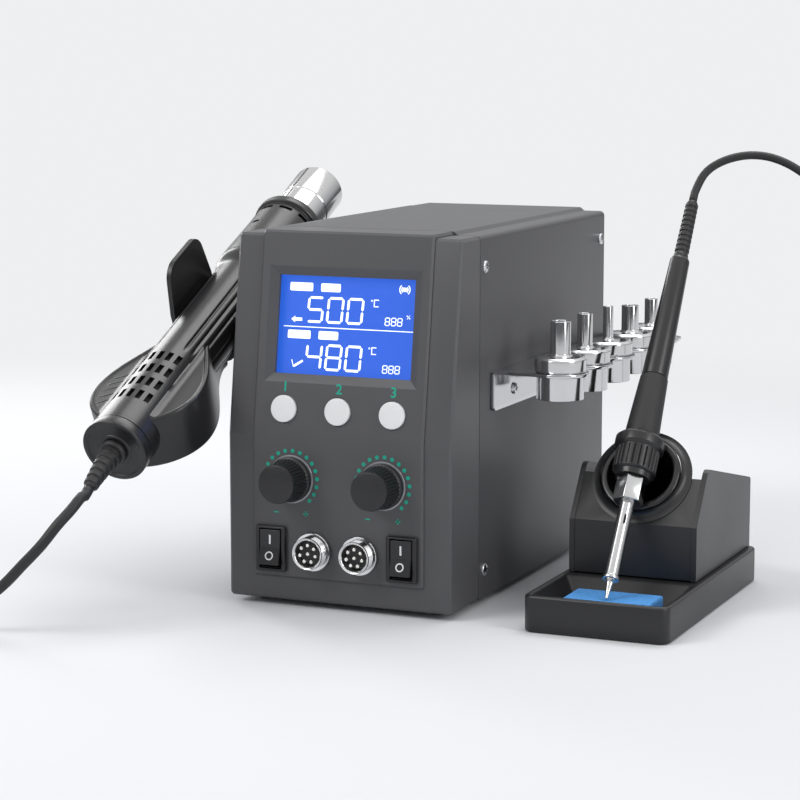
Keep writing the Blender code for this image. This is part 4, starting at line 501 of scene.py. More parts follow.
def add_piece(name, shapes, place, material, body, replaced=(), smooth=32.0):
    """One mesh from shapes in millimetres, put into the station by a local frame."""
    points, faces, count = [], [], 0
    for shape_points, shape_faces in shapes:
        points.append(np.asarray(shape_points, float))
        faces += [tuple(int(i) + count for i in face) for face in shape_faces]
        count += len(points[-1])
    world = np.vstack(points) * MM @ np.array(place.to_3x3()).T + np.array(place.translation)
    mesh = bpy.data.meshes.new(name)
    mesh.from_pydata(world.tolist(), [], faces)
    bm = bmesh.new()
    bm.from_mesh(mesh)
    bmesh.ops.remove_doubles(bm, verts=bm.verts, dist=0.0000005)
    bmesh.ops.recalc_face_normals(bm, faces=bm.faces)
    bm.to_mesh(mesh)
    bm.free()
    for one in material if isinstance(material, (list, tuple)) else (material,):
        mesh.materials.append(one)
    mesh.shade_smooth()
    mesh.set_sharp_from_angle(angle=math.radians(smooth))
    obj = bpy.data.objects.new(name, mesh)
    bpy.context.scene.collection.objects.link(obj)
    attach(obj, body)
    if replaced:
        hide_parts(*replaced)
    return obj


case_width = 110.0
case_bottom = 3.0
case_top = 169.6
plateau = 42.1
plateau_rise = 1.7
shoulder = 2.0
bezel_depth = 35.8
sheet = 1.2
grey_paint = finish("grey_powder_coat", (0.074, 0.074, 0.078), 0.42, 0.0, 0.06, 0.06, 0.3, 1500, 18)
half_case = case_width / 2


def cover_section(inset, bend):
    """Half of the cover's cross-section, from its bottom edge to the middle of the plateau."""
    step, low, high = 0.4 * inset, case_top - inset, case_top + plateau_rise - inset
    corners = [(half_case - inset, case_bottom), (half_case - inset, low), (plateau + shoulder - step, low),
               (plateau - step, high), (0, high)]
    return rounded(corners, [0, bend, 1.2, 1.2, 0], 6, closed=False)


outer = cover_section(0, 2.4)[:-1]
inner = cover_section(sheet, 1.3)[:-1]
cover_outline = outer + [(-x, z) for x, z in reversed(outer)]
cover_inside = inner + [(-x, z) for x, z in reversed(inner)]
cover_shape = slab([cover_outline + cover_inside[::-1]], -case_depth, -bezel_depth - 0.3, 0.25)
add_piece("steel_cover", [moved(cover_shape, (0, 0, 0), [("X", 90)])], STATION, grey_paint, "cabinet",
          ["cover"], 28)


def screw_head(radius, height):
    """A pan-headed screw, its dome a quarter ellipse over a short straight side."""
    a = np.linspace(0, np.pi / 2, 8)
    dome = list(zip(radius * np.sin(a), height * (0.45 + 0.55 * np.cos(a)))) + [(radius, 0.0), (0, 0.0)]
    dome[0] = (0.0, dome[0][1])
    return turned(dome, 32)


def crossed_screws(places, turns, head, slot_size, slot_heights, twist):
    """Screw heads of the given radius and height at each place, and the bars of their cross slots, dark bars
    that stand for the shade in the recess.
    """
    bar = slab([rectangle(*slot_size)], *slot_heights)
    heads = [moved(screw_head(*head), place, turns) for place in places]
    bars = [moved(bar, place, [("Z", angle)] + turns) for place in places for angle in (twist, twist + 90)]
    return heads, bars


bright_zinc = finish("screw_plating", (0.66, 0.67, 0.69), 0.22, 1.0, 0.06, 0.06, 0.05)
# Near-black cross slots: painted shade standing for the dark inside of each screw's recess.
slot_shade = finish("screw_slot_shade", (0.02, 0.02, 0.02), 0.6)
screws, slots = [], []
for side in (-1, 1):
    side_places = [(side * half_case, y, z)
                   for y, z in ((41.0, 155.4), (201.7, 156.0), (41.0, 16.2), (201.7, 16.0))]
    heads, bars = crossed_screws(side_places, [("Y", 90 * side)], (2.9, 1.7), (1.5, 0.28), (1.2, 1.72), 20)
    screws += heads
    slots += bars
rear_places = [(x, case_depth - sheet, z) for x, z in ((-47, 60), (47, 60), (-47, 130), (47, 130))]
heads, bars = crossed_screws(rear_places, [("X", -90)], (2.6, 1.6), (1.3, 0.26), (1.1, 1.62), 35)
add_piece("cover_screws", screws + heads, STATION, bright_zinc, "cabinet")
add_piece("cover_screw_slots", slots + bars, STATION, slot_shade, "cabinet")

# Feet: moulded rubber discs pushed onto the floor, with a ground lower edge.
rubber = finish("foot_rubber", (0.02, 0.02, 0.021), 0.8, 0.0, 0.15, 0.05, 0.25, 1200)
foot_profile = rounded([(0, 2.7), (6.0, 2.7), (5.3, 0.0), (3.0, 0.0), (2.6, 0.8), (0, 0.8)], 0.4, 3,
                       closed=False)
for number in range(1, 5):
    low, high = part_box(f"foot_{number}")
    middle = (((low[0] + high[0]) / 2 - home.x) / MM, ((low[1] + high[1]) / 2 - home.y) / MM, 0)
    add_piece(f"rubber_foot_{number}", [turned(foot_profile, 48)], local_frame(middle), rubber, "cabinet",
              [f"foot_{number}"])

# Bezel: injection-moulded front in dark grey ABS with a fine texture. Its middle panel stands proud
# of the sides and leans back above the kink; the screen sits in a bevelled frame.
grey_plastic = finish("grey_textured_plastic", (0.074, 0.074, 0.078), 0.45, 0.0, 0.05, 0.05, 0.35, 1700, 15)
softened("moulded_bezel", "front_bezel", grey_plastic, "cabinet", 0.45, 3, 20)

# Screen: a backlit blue liquid crystal panel behind a clear acrylic pane. The digits, signs and
# plain badges are white segments.
panel_frame = local_frame((0, 0, 78.7), -8.1) @ FACE_TURN
screen_glow, glow_tree, glow_shader = new_material("screen_blue", {
    "Base Color": (0.01, 0.03, 0.2, 1), "Roughness": 0.35, "Emission Strength": 0.85})
glow_place = add_node(glow_tree, "TexCoord")
glow_noise = add_node(glow_tree, "TexNoise", {"Scale": 14})
glow_tone = add_node(glow_tree, "Mix", {"A": (0.020, 0.115, 0.66, 1), "B": (0.030, 0.145, 0.76, 1)},
                     data_type="RGBA")
wire(glow_tree, (glow_place, "Object", glow_noise, "Vector"), (glow_noise, "Fac", glow_tone, "Factor"),
     (glow_tone, "Result", glow_shader, "Emission Color"))
segment_white = new_material("segment_white", {
    "Base Color": (0.8, 0.85, 0.9, 1), "Emission Color": (0.85, 0.92, 1.0, 1), "Emission Strength": 0.8})[0]
pane = new_material("clear_acrylic", {
    "Base Color": (0.96, 0.98, 1.0, 1), "Roughness": 0.03, "IOR": 1.0, "Transmission Weight": 1.0,
    "Alpha": 0.12})[0]
paint_node("lcd_module", screen_glow)
paint_node("lcd_window", pane)

screen_low, screen_high = 28.9, 73.5
screen_half = 33.5
screen_depth = -6.1
segment_rise = 0.08


def screen_point(u, v):
    """A place on the screen from its share across and its share down."""
    return -screen_half + 2 * screen_half * u, screen_high - (screen_high - screen_low) * v


def printed(*outlines):
    """A thin closed piece just off the blue panel: one outline, and any others as its holes."""
    return slab(outlines, screen_depth - 0.02, screen_depth + segment_rise)


def digit(character, x, y, width, height, stroke, slant=0.06):
    """Seven-segment digit with its lower left corner at x, y: mitred bars with narrow gaps."""
    lit_bars = {"0": "abcdef", "4": "bcfg", "5": "acdfg", "8": "abcdefg"}[character]
    gap, half_stroke = 0.09 * stroke * 2, stroke / 2
    across, up = width - stroke, (height - stroke) / 2
    corners = {"a": ((0, 2 * up), (across, 2 * up)), "b": ((across, up), (across, 2 * up)),
               "c": ((across, 0), (across, up)), "d": ((0, 0), (across, 0)), "e": ((0, 0), (0, up)),
               "f": ((0, up), (0, 2 * up)), "g": ((0, up), (across, up))}
    bars = []
    for bar in lit_bars:
        (x0, y0), (x1, y1) = corners[bar]
        length = math.hypot(x1 - x0, y1 - y0) - 2 * gap
        ux, uy = (x1 - x0, y1 - y0) / np.hypot(x1 - x0, y1 - y0)
        shape = [(0, 0), (half_stroke, half_stroke), (length - half_stroke, half_stroke), (length, 0),
                 (length - half_stroke, -half_stroke), (half_stroke, -half_stroke)]
        outline = []
        for s, n in shape:
            px = x0 + ux * (s + gap) - uy * n + half_stroke
            py = y0 + uy * (s + gap) + ux * n + half_stroke
            outline.append((x + px + slant * py, y + py))
        bars.append(printed(outline[::-1]))
    return bars


def number(text, u0, v0, u1, v1, stroke):
    """A row of digits that fills a rectangle of the screen."""
    left, top = screen_point(u0, v0)
    right, bottom = screen_point(u1, v1)
    pitch = (right - left) / len(text)
    shapes = []
    for i, character in enumerate(text):
        shapes += digit(character, left + i * pitch, bottom, pitch * 0.84, top - bottom, stroke)
    return shapes


def badge(u0, v0, u1, v1):
    """A plain white plate with rounded corners."""
    (x0, y1), (x1, y0) = screen_point(u0, v0), screen_point(u1, v1)
    return printed(rounded([(x0, y0), (x1, y0), (x1, y1), (x0, y1)], 0.6))


def degree_sign(u, v, size):
    """A small ring and a square C beside it."""
    x, y = screen_point(u, v)
    w, h, s = 2.4 * size, 3.4 * size, 0.42 * size
    cx, cy = x + 1.0 * size, y - h + 0.6 * size
    letter = [(cx, cy), (cx + w, cy), (cx + w, cy + s), (cx + s, cy + s), (cx + s, cy + h - s),
              (cx + w, cy + h - s), (cx + w, cy + h), (cx, cy + h)]
    return [printed(circle(0.45 * size, x, y), circle(0.2475 * size, x, y)), printed(letter)]


segments = number("500", 0.185, 0.205, 0.625, 0.475, 1.15) + number("480", 0.190, 0.685, 0.630, 0.955, 1.15)
segments += number("888", 0.765, 0.385, 0.900, 0.470, 0.42) + number("888", 0.765, 0.865, 0.900, 0.950, 0.42)
segments += [badge(0.055, 0.07, 0.225, 0.155), badge(0.285, 0.07, 0.43, 0.155)]
segments += [badge(0.055, 0.555, 0.225, 0.64), badge(0.285, 0.555, 0.43, 0.64)]
segments += degree_sign(0.665, 0.225, 1.0) + degree_sign(0.665, 0.705, 1.0)
(x0, y0), (x1, _) = screen_point(0.02, 0.52), screen_point(0.985, 0.52)
segments.append(printed(rectangle((x1 - x0) / 2, 0.2, (x0 + x1) / 2, y0)))
x0, y0 = screen_point(0.075, 0.445)
segments.append(printed([(x0, y0), (x0 + 1.9, y0 - 1.5), (x0 + 1.9, y0 - 0.75), (x0 + 5.4, y0 - 0.75),
                         (x0 + 5.4, y0 + 0.75), (x0 + 1.9, y0 + 0.75), (x0 + 1.9, y0 + 1.5)]))
x0, y0 = screen_point(0.115, 0.925)
segments.append(printed([(x0 - 0.2, y0), (x0 + 0.3, y0 - 0.3), (x0 + 4.4, y0 + 2.3), (x0 + 3.9, y0 + 3.1),
                         (x0 + 0.2, y0 + 0.9)]))
segments.append(printed([(x0 - 1.6, y0 + 3.0), (x0 - 0.5, y0 - 0.4), (x0 - 0.1, y0 - 0.3),
                         (x0 - 1.2, y0 + 3.0)]))
x0, y0 = screen_point(0.90, 0.10)
segments.append(printed(circle(1.0, x0, y0)))
for side in (0, math.pi):
    for radius in (1.75, 2.75):
        a = np.linspace(-0.85, 0.85, 12) + side
        ring = [(x0 + radius * math.cos(t), y0 + radius * math.sin(t)) for t in a]
        ring += [(x0 + (radius - 0.5) * math.cos(t), y0 + (radius - 0.5) * math.sin(t)) for t in a[::-1]]
        segments.append(printed(ring[::-1]))
x0, y0 = screen_point(0.925, 0.375)
segments.append(printed([(x0, y0 - 0.9), (x0 + 0.3, y0 - 0.9), (x0 + 1.6, y0 + 0.9), (x0 + 1.3, y0 + 0.9)]))
for dx, dy in ((0.2, 0.5), (1.4, -0.5)):
    segments.append(printed(circle(0.32, x0 + dx, y0 + dy, 10)))
add_piece("screen_segments", segments, panel_frame, segment_white, "cabinet")

# Print on the panel: teal ink, one number over each button, a ring of dots round each knob and a
# minus and a plus below it.
teal = finish("teal_ink", (0.0, 0.36, 0.25), 0.5, 0.0, 0.05, 0.05, 0.05)
ink_low, ink_high = -0.03, 0.05


def lettering(text, size):
    """The outline of a plain character as a thin closed mesh, centred on its own middle."""
    curve = bpy.data.curves.new("lettering", "FONT")
    curve.body = text
    curve.size = size * MM
    curve.extrude = (ink_high - ink_low) / 2 * MM
    curve.offset = 0.00012
    points, faces = curve_mesh(curve)
    points -= (points.min(axis=0) + points.max(axis=0)) / 2
    points[:, 2] += (ink_low + ink_high) / 2
    return points, faces


button_pitch = 26.7
button_level = 12.8
numbers = [moved(lettering(str(i + 1), 6.4), ((i - 1) * button_pitch, button_level + 10.2, 0))
           for i in range(3)]
add_piece("button_numbers", numbers, panel_frame, teal, "cabinet")
knob_level = 59.5
knob_half = 22.7
dot_circle, dot_radius, dot_step = 13.1, 0.95, 16.4
sign_drop, sign_reach, sign_stroke = 15.6, 7.4, 0.3
lower_frame = STATION @ FACE_TURN
marks = []
for side in (-1, 1):
    x, y = side * knob_half, knob_level - sign_drop
    for k in range(17):
        a = math.radians(217 - k * dot_step)
        marks.append(circle(dot_radius, x + dot_circle * math.cos(a), knob_level + dot_circle * math.sin(a)))
    marks += [rectangle(1.2, sign_stroke, x - sign_reach, y), rectangle(1.3, sign_stroke, x + sign_reach, y),
              rectangle(sign_stroke, 1.3, x + sign_reach, y)]
add_piece("knob_scales", [slab([mark], ink_low, ink_high) for mark in marks], lower_frame, teal, "cabinet")

# Buttons: white moulded caps, slightly domed, each on its own flange behind the panel.
button_white = finish("button_white", (0.80, 0.80, 0.80), 0.35, 0.0, 0.02, 0.05, 0.05)
dome = [(6.15 * math.sin(a) if a else 0.0, 1.15 + 0.35 * math.cos(a)) for a in np.linspace(0, math.pi / 2, 8)]
button_profile = rounded(dome + [(6.15, -4.3), (7.4, -4.3), (7.4, -5.5), (0, -5.5)], 0.35, 3, closed=False)
for i in range(3):
    middle = ((i - 1) * button_pitch, button_level, 0)
    add_piece(f"button_cap_{i + 1}", [moved(turned(button_profile, 64), middle)], panel_frame, button_white,
              f"button_{i + 1}", [f"button_{i + 1}"])

# Knobs: black moulded caps with fine ribs round the side, a smooth lip at the front and a thin
# bright washer under them.
knob_black = finish("knob_black", (0.012, 0.012, 0.013), 0.40, 0.0, 0.1, 0.08, 0.2)
washer_grey = finish("washer_grey", (0.30, 0.31, 0.33), 0.35, 0.6)
knob_ribs = 36


def ribbed_knob(base, top, length, foot):
    """A cap whose side radius falls from base to top; in the ribbed band it dips by the share of
    |sin| of half the rib count times the angle.
    """
    angle = np.linspace(0, 2 * np.pi, knob_ribs * 8, endpoint=False)
    rows = [(0.0, length, 0), (top - 2.2, length, 0), (top - 1.9, length - 0.12, 0),
            (top - 0.9, length - 0.12, 0), (top - 0.25, length - 0.4, 0), (top, length - 1.1, 0),
            (top + 0.02, length - 1.6, 0),
            (top + 0.04, length - 2.0, 0.5), (top + 0.08, length - 2.6, 1), (base - 0.95, foot + 3.4, 1),
            (base - 0.9, foot + 2.9, 0.5), (base - 0.6, foot + 2.4, 0), (base - 0.1, foot + 2.1, 0),
            (base, foot + 1.8, 0), (base, foot + 0.3, 0), (base - 0.3, foot, 0), (5.4, foot, 0),
            (5.4, 5.0, 0), (3.3, 5.0, 0), (3.3, 13.0, 0), (0.0, 13.0, 0)]
    rows = np.array(rows)
    dip = 0.55 * (1 - np.abs(np.sin(angle * knob_ribs / 2)) ** 0.7)
    reach = rows[:, :1] - rows[:, 2:] * dip[None, :]
    height = np.broadcast_to(rows[:, 1:2], reach.shape)
    points = np.stack([reach * np.cos(angle), reach * np.sin(angle), height], -1)
    return points.reshape(-1, 3), grid_faces(len(rows), len(angle), False, True)


washer_line = rounded([(4.0, 0.34), (11.0, 0.34), (11.2, 0.0), (11.0, -0.02), (4.0, -0.02)], 0.08, 2)
for side, name in ((-1, "air"), (1, "heat")):
    middle = (side * knob_half, knob_level, 0)
    add_piece(f"{name}_control", [moved(ribbed_knob(10.4, 8.9, 16.0, 0.4), middle)], lower_frame, knob_black,
              f"{name}_knob", [f"{name}_knob"], 40)
    add_piece(f"{name}_washer", [moved(turned(washer_line, 64, True), middle)], lower_frame, washer_grey,
              "cabinet")

# Rocker switches: a black snap-in housing with a rim, and a glossy rocker marked with a bar and a
# ring. Both stand with the bar pressed in.
switch_black = finish("switch_black", (0.010, 0.010, 0.011), 0.34, 0.0, 0.1, 0.08, 0.1)
rocker_black = finish("rocker_black", (0.009, 0.009, 0.010), 0.22, 0.0, 0.1, 0.06, 0.06)
mark_white = finish("switch_mark_white", (0.78, 0.79, 0.80), 0.45, 0.0, 0.03, 0.03, 0.03)
row_level = 27.0
switch_half, rocker_lean, face_out = 32.4, 8.0, 4.95
for side, name in ((-1, "air"), (1, "iron")):
    softened(f"{name}_switch_case", f"{name}_switch_body", switch_black, "cabinet", 0.3, 2)
    softened(f"{name}_switch_rocker", f"{name}_rocker", rocker_black, f"{name}_rocker",
             0.35, 3)
    axle = local_frame((side * switch_half, 2.5, row_level), -rocker_lean) @ FACE_TURN
    bar = slab([rectangle(0.42, 2.1)], -0.05, 0.08)
    ring = slab([circle(2.0, count=40), circle(1.44, count=40)], -0.05, 0.08)
    add_piece(f"{name}_switch_marks", [moved(bar, (0, 3.6, face_out + 0.45), [("X", rocker_lean)]),
                                       moved(ring, (0, -3.9, face_out + 0.5), [("X", -rocker_lean)])],
              axle, mark_white, f"{name}_rocker")

# Sockets: nickel-plated screw shells with a fine outer thread, a keyed black insert and eight pins.
nickel = finish("nickel_plate", (0.72, 0.72, 0.73), 0.16, 1.0, 0.05, 0.05, 0.03)
insert_black = finish("insert_black", (0.03, 0.03, 0.032), 0.5)
pin_bright = finish("pin_plate", (0.85, 0.84, 0.8), 0.25, 1.0, 0.03, 0.05, 0.02)
thread_crest, thread_root, thread_pitch = 7.4, 7.12, 0.62
thread = [(thread_crest, 7.0)]
for k in range(7):
    level = 6.6 - thread_pitch * k
    thread += [(thread_crest, level), (thread_root, level - thread_pitch / 2)]
shell_profile = [(6.9, 7.4), (7.2, 7.4)] + thread + [
    (7.4, 2.3), (8.6, 2.3), (8.85, 2.05), (8.85, 0.5), (8.65, 0.3), (7.7, 0.3), (7.7, -4.3), (9.2, -4.3),
    (9.2, -7.3), (7.4, -7.3), (7.4, -10.3), (6.1, -10.3), (6.1, 6.6), (6.3, 7.0)]
pin = turned(rounded([(0, 6.75), (0.82, 6.75), (0.82, 2.0), (0, 2.0)], 0.3, 3, closed=False), 20)
for side, name in ((-1, "air"), (1, "iron")):
    middle = (side * 11.5, row_level, 0)
    add_piece(f"{name}_socket_shell", [moved(turned(shell_profile, 72, True), middle)], lower_frame, nickel,
              "cabinet", [f"{name}_socket"])
    paint_node(f"{name}_socket_insert", insert_black)
    pins = []
    for k in range(8):
        a = 2 * math.pi * k / 7 + math.pi / 2
        reach = 3.9 if k < 7 else 0
        pins.append(moved(pin, (middle[0] + reach * math.cos(a), middle[1] + reach * math.sin(a), 0)))
    add_piece(f"{name}_socket_pins", pins, lower_frame, pin_bright, "cabinet")

# Gun handle: two moulded shells in black satin nylon. The blower drum is a teardrop under the grip
# with a raised rim, the grip flows over it in a smooth ridge with five columns of air slots, and
# long grooves run up to the flared neck.
gun_black = finish("gun_nylon", (0.014, 0.014, 0.015), 0.30, 0.0, 0.08, 0.07, 0.22, 1500, 22)
# Near-black for the air slots and the barrel slots: painted shade for the dark inside of a hole.
hole_shade = finish("hole_shade", (0.004, 0.004, 0.004), 0.8, 0.0, 0.1, 0.05, 0.05)
grip_radius = 15.2
drum_middle = 38.0
drum_radius = 27.0
drum_end, drum_end_half = 98.0, 8.0
drum_top, drum_bottom = 8.0, -17.0
chamber_radius = 23.5
rim_drop = 0.7
fillet_radius = 5.0


def smooth_step(value, low, high):
    """0 below low, 1 above high, and an even S between them."""
    t = np.clip((value - low) / (high - low), 0, 1)
    return t * t * (3 - 2 * t)


def drum_outline(count):
    """Right half of the teardrop: a quarter circle, then a half cosine down to the narrow end."""
    a = np.linspace(-np.pi / 2, 0, count)
    share = np.linspace(0, 1, count)[1:]
    swell = drum_end_half + (drum_radius - drum_end_half) * (1 + np.cos(np.pi * share)) / 2
    x = np.concatenate([drum_radius * np.cos(a), swell])
    s = drum_middle + np.concatenate([drum_radius * np.sin(a), (drum_end - drum_middle) * share])
    return np.stack([np.abs(x), s], 1)


def drum_shell():
    """Closed drum. Its top is a height over the outline set in by growing distances: a rounded edge,
    a rim, an inset face, and a fillet whose arc meets the grip's circle and the face tangentially.
    """
    half_line = drum_outline(40)
    line = np.vstack([half_line, [(0.0, drum_end)], half_line[::-1] * (-1, 1)])
    ahead = np.gradient(line, axis=0)
    ahead[0], ahead[-1] = (1, 0), (1, 0)
    inward = np.stack([-ahead[:, 1], ahead[:, 0]], 1)
    inward /= np.linalg.norm(inward, axis=1)[:, None]
    offsets = np.concatenate([np.linspace(0, 1.2, 7)[1:], np.linspace(1.6, 2.4, 5), np.linspace(3, 26, 30)])
    face = drum_top - rim_drop
    middle_x = math.sqrt((grip_radius + fillet_radius) ** 2 - (face + fillet_radius) ** 2)
    touch = middle_x * grip_radius / (grip_radius + fillet_radius)
    rows = []
    for offset in offsets:
        place = line + inward * offset
        wrong = np.sign(place[:, 0]) * np.sign(line[:, 0]) < 0
        place[wrong, 0] = 0
        place[:, 1] = np.clip(place[:, 1], drum_middle - drum_radius + offset * 0.2, drum_end - offset * 0.02)
        x = np.clip(np.abs(place[:, 0]), touch, middle_x)
        arc = face + fillet_radius - np.sqrt(np.maximum(fillet_radius**2 - (middle_x - x) ** 2, 0))
        rounded_edge = drum_top - 1.2 + math.sqrt(max(0, 1.2**2 - (1.2 - min(offset, 1.2)) ** 2))
        flat = rounded_edge - rim_drop * smooth_step(offset, 1.6, 2.4)
        height = np.maximum(flat, np.where(np.abs(place[:, 0]) < middle_x, arc, flat))
        height = np.where(offset < 2.0, flat, height)
        rows.append(np.column_stack([place, height]))
    top = rows[::-1]
    side = [np.column_stack([line + inward * max(0, inset), np.full(len(line), z)]) for inset, z in
            ((0.0, drum_top - 1.2), (0.0, drum_bottom + 1.4), (0.1, drum_bottom + 0.9),
             (0.42, drum_bottom + 0.4), (0.9, drum_bottom + 0.1), (1.4, drum_bottom))]
    toward = line - (0, drum_middle)
    toward /= np.linalg.norm(toward, axis=1)[:, None]
    inner = [np.column_stack([(0, drum_middle) + toward * reach, np.full(len(line), z)]) for reach, z in
             ((chamber_radius, drum_bottom), (chamber_radius, 5.5), (0.0, 5.5))]
    grid = np.stack(top + side + inner)
    return grid.reshape(-1, 3), grid_faces(len(grid), len(line))


def pocketed(s_lines, a_lines, radius, pockets, depth, closed):
    """Tube surface over stations s and angles a, with its pockets pushed in by depth. The lines run
    along the pockets' edges, in pairs a hair apart, so that their walls stand straight.
    """
    s, a = np.meshgrid(s_lines, a_lines, indexing="ij")
    reach = radius(s, a)
    inside = np.zeros(s.shape, bool)
    for s0, s1, a0, a1 in pockets:
        inside |= (s > s0 + 1e-6) & (s < s1 - 1e-6) & (a > a0 + 1e-6) & (a < a1 - 1e-6)
    reach = np.where(inside, reach - depth, reach)
    points = np.stack([reach * np.sin(a), s, reach * np.cos(a)], -1).reshape(-1, 3)
    return points, grid_faces(len(s_lines), len(a_lines), False, closed)


def edge_lines(low, high, edges, step):
    """Even lines from low to high with a close pair at each edge."""
    edges = np.array(edges)
    even = np.linspace(low, high, int(round((high - low) / step)) + 1)
    keep = [value for value in even if np.min(np.abs(value - edges)) > step * 0.15]
    return np.sort(np.concatenate([edges - 0.0002, edges + 0.0002, keep]))


slot_columns, slot_rows = 5, 4
slot_start, slot_pitch, slot_length = 24.5, 10.4, 6.4
slot_angle, slot_half_angle = math.radians(17.0), math.radians(4.6)
slots_cut = []
for column in range(slot_columns):
    for level in range(slot_rows):
        middle_angle = (column - (slot_columns - 1) / 2) * slot_angle
        middle_s = slot_start + level * slot_pitch
        slots_cut.append((middle_s - slot_length / 2, middle_s + slot_length / 2,
                          middle_angle - slot_half_angle, middle_angle + slot_half_angle))
groove_angles = np.radians([-62, -47, -32, 32, 47, 62, 90, 120, 150, 180, -90, -120, -150])


def grip_surface(s, a):
    """The grip's radius: fine grooves that fade in past the slots and out before the neck."""
    fade = smooth_step(s, 62, 70) * (1 - smooth_step(s, 131, 139))
    groove = np.zeros_like(s)
    for at in groove_angles:
        groove = np.maximum(groove, np.exp(-(np.remainder(a - at + np.pi, 2 * np.pi) - np.pi) ** 2 / 0.0022))
    flare = (17.5 - grip_radius) * smooth_step(s, 140.5, 148.5)
    return grip_radius + flare - 0.75 * fade * groove


def grip_tube(start, end):
    """The grip as a solid bar between two stations, with its grooves and a small step at the neck."""
    a_lines = np.linspace(0, 2 * np.pi, 240, endpoint=False)
    s_lines = np.concatenate([[start], np.linspace(start, end, max(3, int((end - start) / 1.2))), [end]])
    s, a = np.meshgrid(s_lines, a_lines, indexing="ij")
    reach = grip_surface(s, a)
    reach[0], reach[-1] = 0, 0
    points = np.stack([reach * np.sin(a), s, reach * np.cos(a)], -1)
    return points.reshape(-1, 3), grid_faces(len(s_lines), len(a_lines), False, True)


def slotted_ridge():
    """The grip's upper side over the drum, with the air slots, closed below by its inner face."""
    half_angle = math.radians(51.5)
    edges_s = sorted({e for cut in slots_cut for e in cut[:2]})
    edges_a = sorted({e for cut in slots_cut for e in cut[2:]})
    s_lines = edge_lines(8.0, 61.0, edges_s, 2.0)
    a_lines = edge_lines(-half_angle, half_angle, edges_a, math.radians(3.0))
    points, faces = pocketed(s_lines, a_lines, lambda s, a: np.full_like(s, grip_radius + 0.03), slots_cut,
                             2.1, False)
    under, under_faces = pocketed(s_lines, a_lines, lambda s, a: np.full_like(s, grip_radius - 2.6), [],
                                  0, False)
    grid = np.arange(len(s_lines) * len(a_lines)).reshape(len(s_lines), len(a_lines))
    border = np.concatenate([grid[0, :-1], grid[:-1, -1], grid[-1, :0:-1], grid[:0:-1, 0]])
    following = np.roll(border, -1)
    shift = len(points)
    walls = np.stack([border, following, following + shift, border + shift], 1)
    return np.vstack([points, under]), np.vstack([faces, under_faces[:, ::-1] + shift, walls])


add_piece("gun_handle", [drum_shell(), grip_tube(6.3, 16.5), grip_tube(59.2, 149.6)], gun_frame, gun_black,
          "gun", ["gun_shell"], 38)
ridge = add_piece("gun_slotted_ridge", [slotted_ridge()], gun_frame, [gun_black, hole_shade], "gun",
                  [], 38)
from_gun = gun_frame.inverted()
centres = np.array([p.center for p in ridge.data.polygons]) - np.array(gun_frame.translation)
local_centres = centres @ np.array(from_gun.to_3x3()).T / MM
reach = np.hypot(local_centres[:, 0], local_centres[:, 2])
# Faces inside the slot pockets take the painted shade of a hole.
in_slot = (reach < grip_radius - 1.5) & (reach > grip_radius - 2.3)
ridge.data.polygons.foreach_set("material_index", in_slot.astype(np.int32))
ribs = []
for k in range(5):
    bar = slab([rounded(rectangle(3.4, 0.35), 0.3)], 7.0, 7.42, 0.1)
    ribs.append(moved(bar, (-18.2 - 0.5 * min(k, 4 - k), 27.0 + 5.2 * k, 0), [("Z", 32)]))
add_piece("gun_drum_ribs", ribs, gun_frame, gun_black, "gun")
lid_profile = rounded([(0, -14.4), (23.1, -14.4), (23.1, -17.0), (20.5, -17.0), (20.2, -16.6), (0, -16.6)],
                      0.25, 3, closed=False)
add_piece("gun_drum_lid", [moved(turned(lid_profile, 96), (0, drum_middle, 0))], gun_frame, gun_black, "gun",
          ["gun_back_cover"])
lid_screws = [moved(screw_head(2.1, 1.1), (20.5 * math.sin(a), drum_middle + 20.5 * math.cos(a), -17.0 + 0.3),
                    [("X", 180)]) for a in np.radians([30, 150, 270])]
add_piece("gun_lid_screws", lid_screws, gun_frame, bright_zinc, "gun")
ALONG = [("X", -90)]
cap_profile = rounded([(0, 5.8), (15.6, 5.8), (15.6, 0.0), (13.6, 0.0), (13.2, 0.6), (8.2, 0.6), (7.8, 0.0),
                       (4.2, 0.0), (4.2, 4.0), (0, 4.0)], 0.5, 3, closed=False)
add_piece("gun_rear_cap", [moved(turned(cap_profile, 96), (0, 0, 0), ALONG)], gun_frame, gun_black, "gun",
          ["gun_end_cap"])

# Gun's strain relief: a soft PVC sleeve with rings that thin towards the cable.
relief_rubber = finish("relief_rubber", (0.013, 0.013, 0.014), 0.45, 0.0, 0.1, 0.06, 0.15, 1600)


def swept(points, radii, segments=40):
    """A closed round bar along a line whose radius changes from point to point."""
    points = np.asarray(points, float)
    along = np.gradient(points, axis=0)
    along /= np.linalg.norm(along, axis=1)[:, None]
    level = np.tile((1.0, 0.0, 0.0), (len(points), 1))
    up = np.cross(level, along)
    a = np.linspace(0, 2 * np.pi, segments, endpoint=False)[None, :, None]
    reach = np.asarray(radii, float)[:, None, None]
    rings = points[:, None] + reach * (level[:, None] * np.cos(a) + up[:, None] * np.sin(a))
    return rings.reshape(-1, 3), grid_faces(len(points), segments, False, True)


def ribbed_line(start, end, count, first, last, groove, share=0.62):
    """Stations and radii of a sleeve with count rings: each ring's flank rises and falls steeply,
    and the ring radius falls evenly from first to last.
    """
    t = np.linspace(0, 1, count * 16 + 1)
    phase = (t * count) % 1
    ring = smooth_step(phase, 0.0, 0.12) * (1 - smooth_step(phase, share, share + 0.12))
    base = first + (last - first) * t
    return start + (end - start) * t, base - groove * (1 - ring)


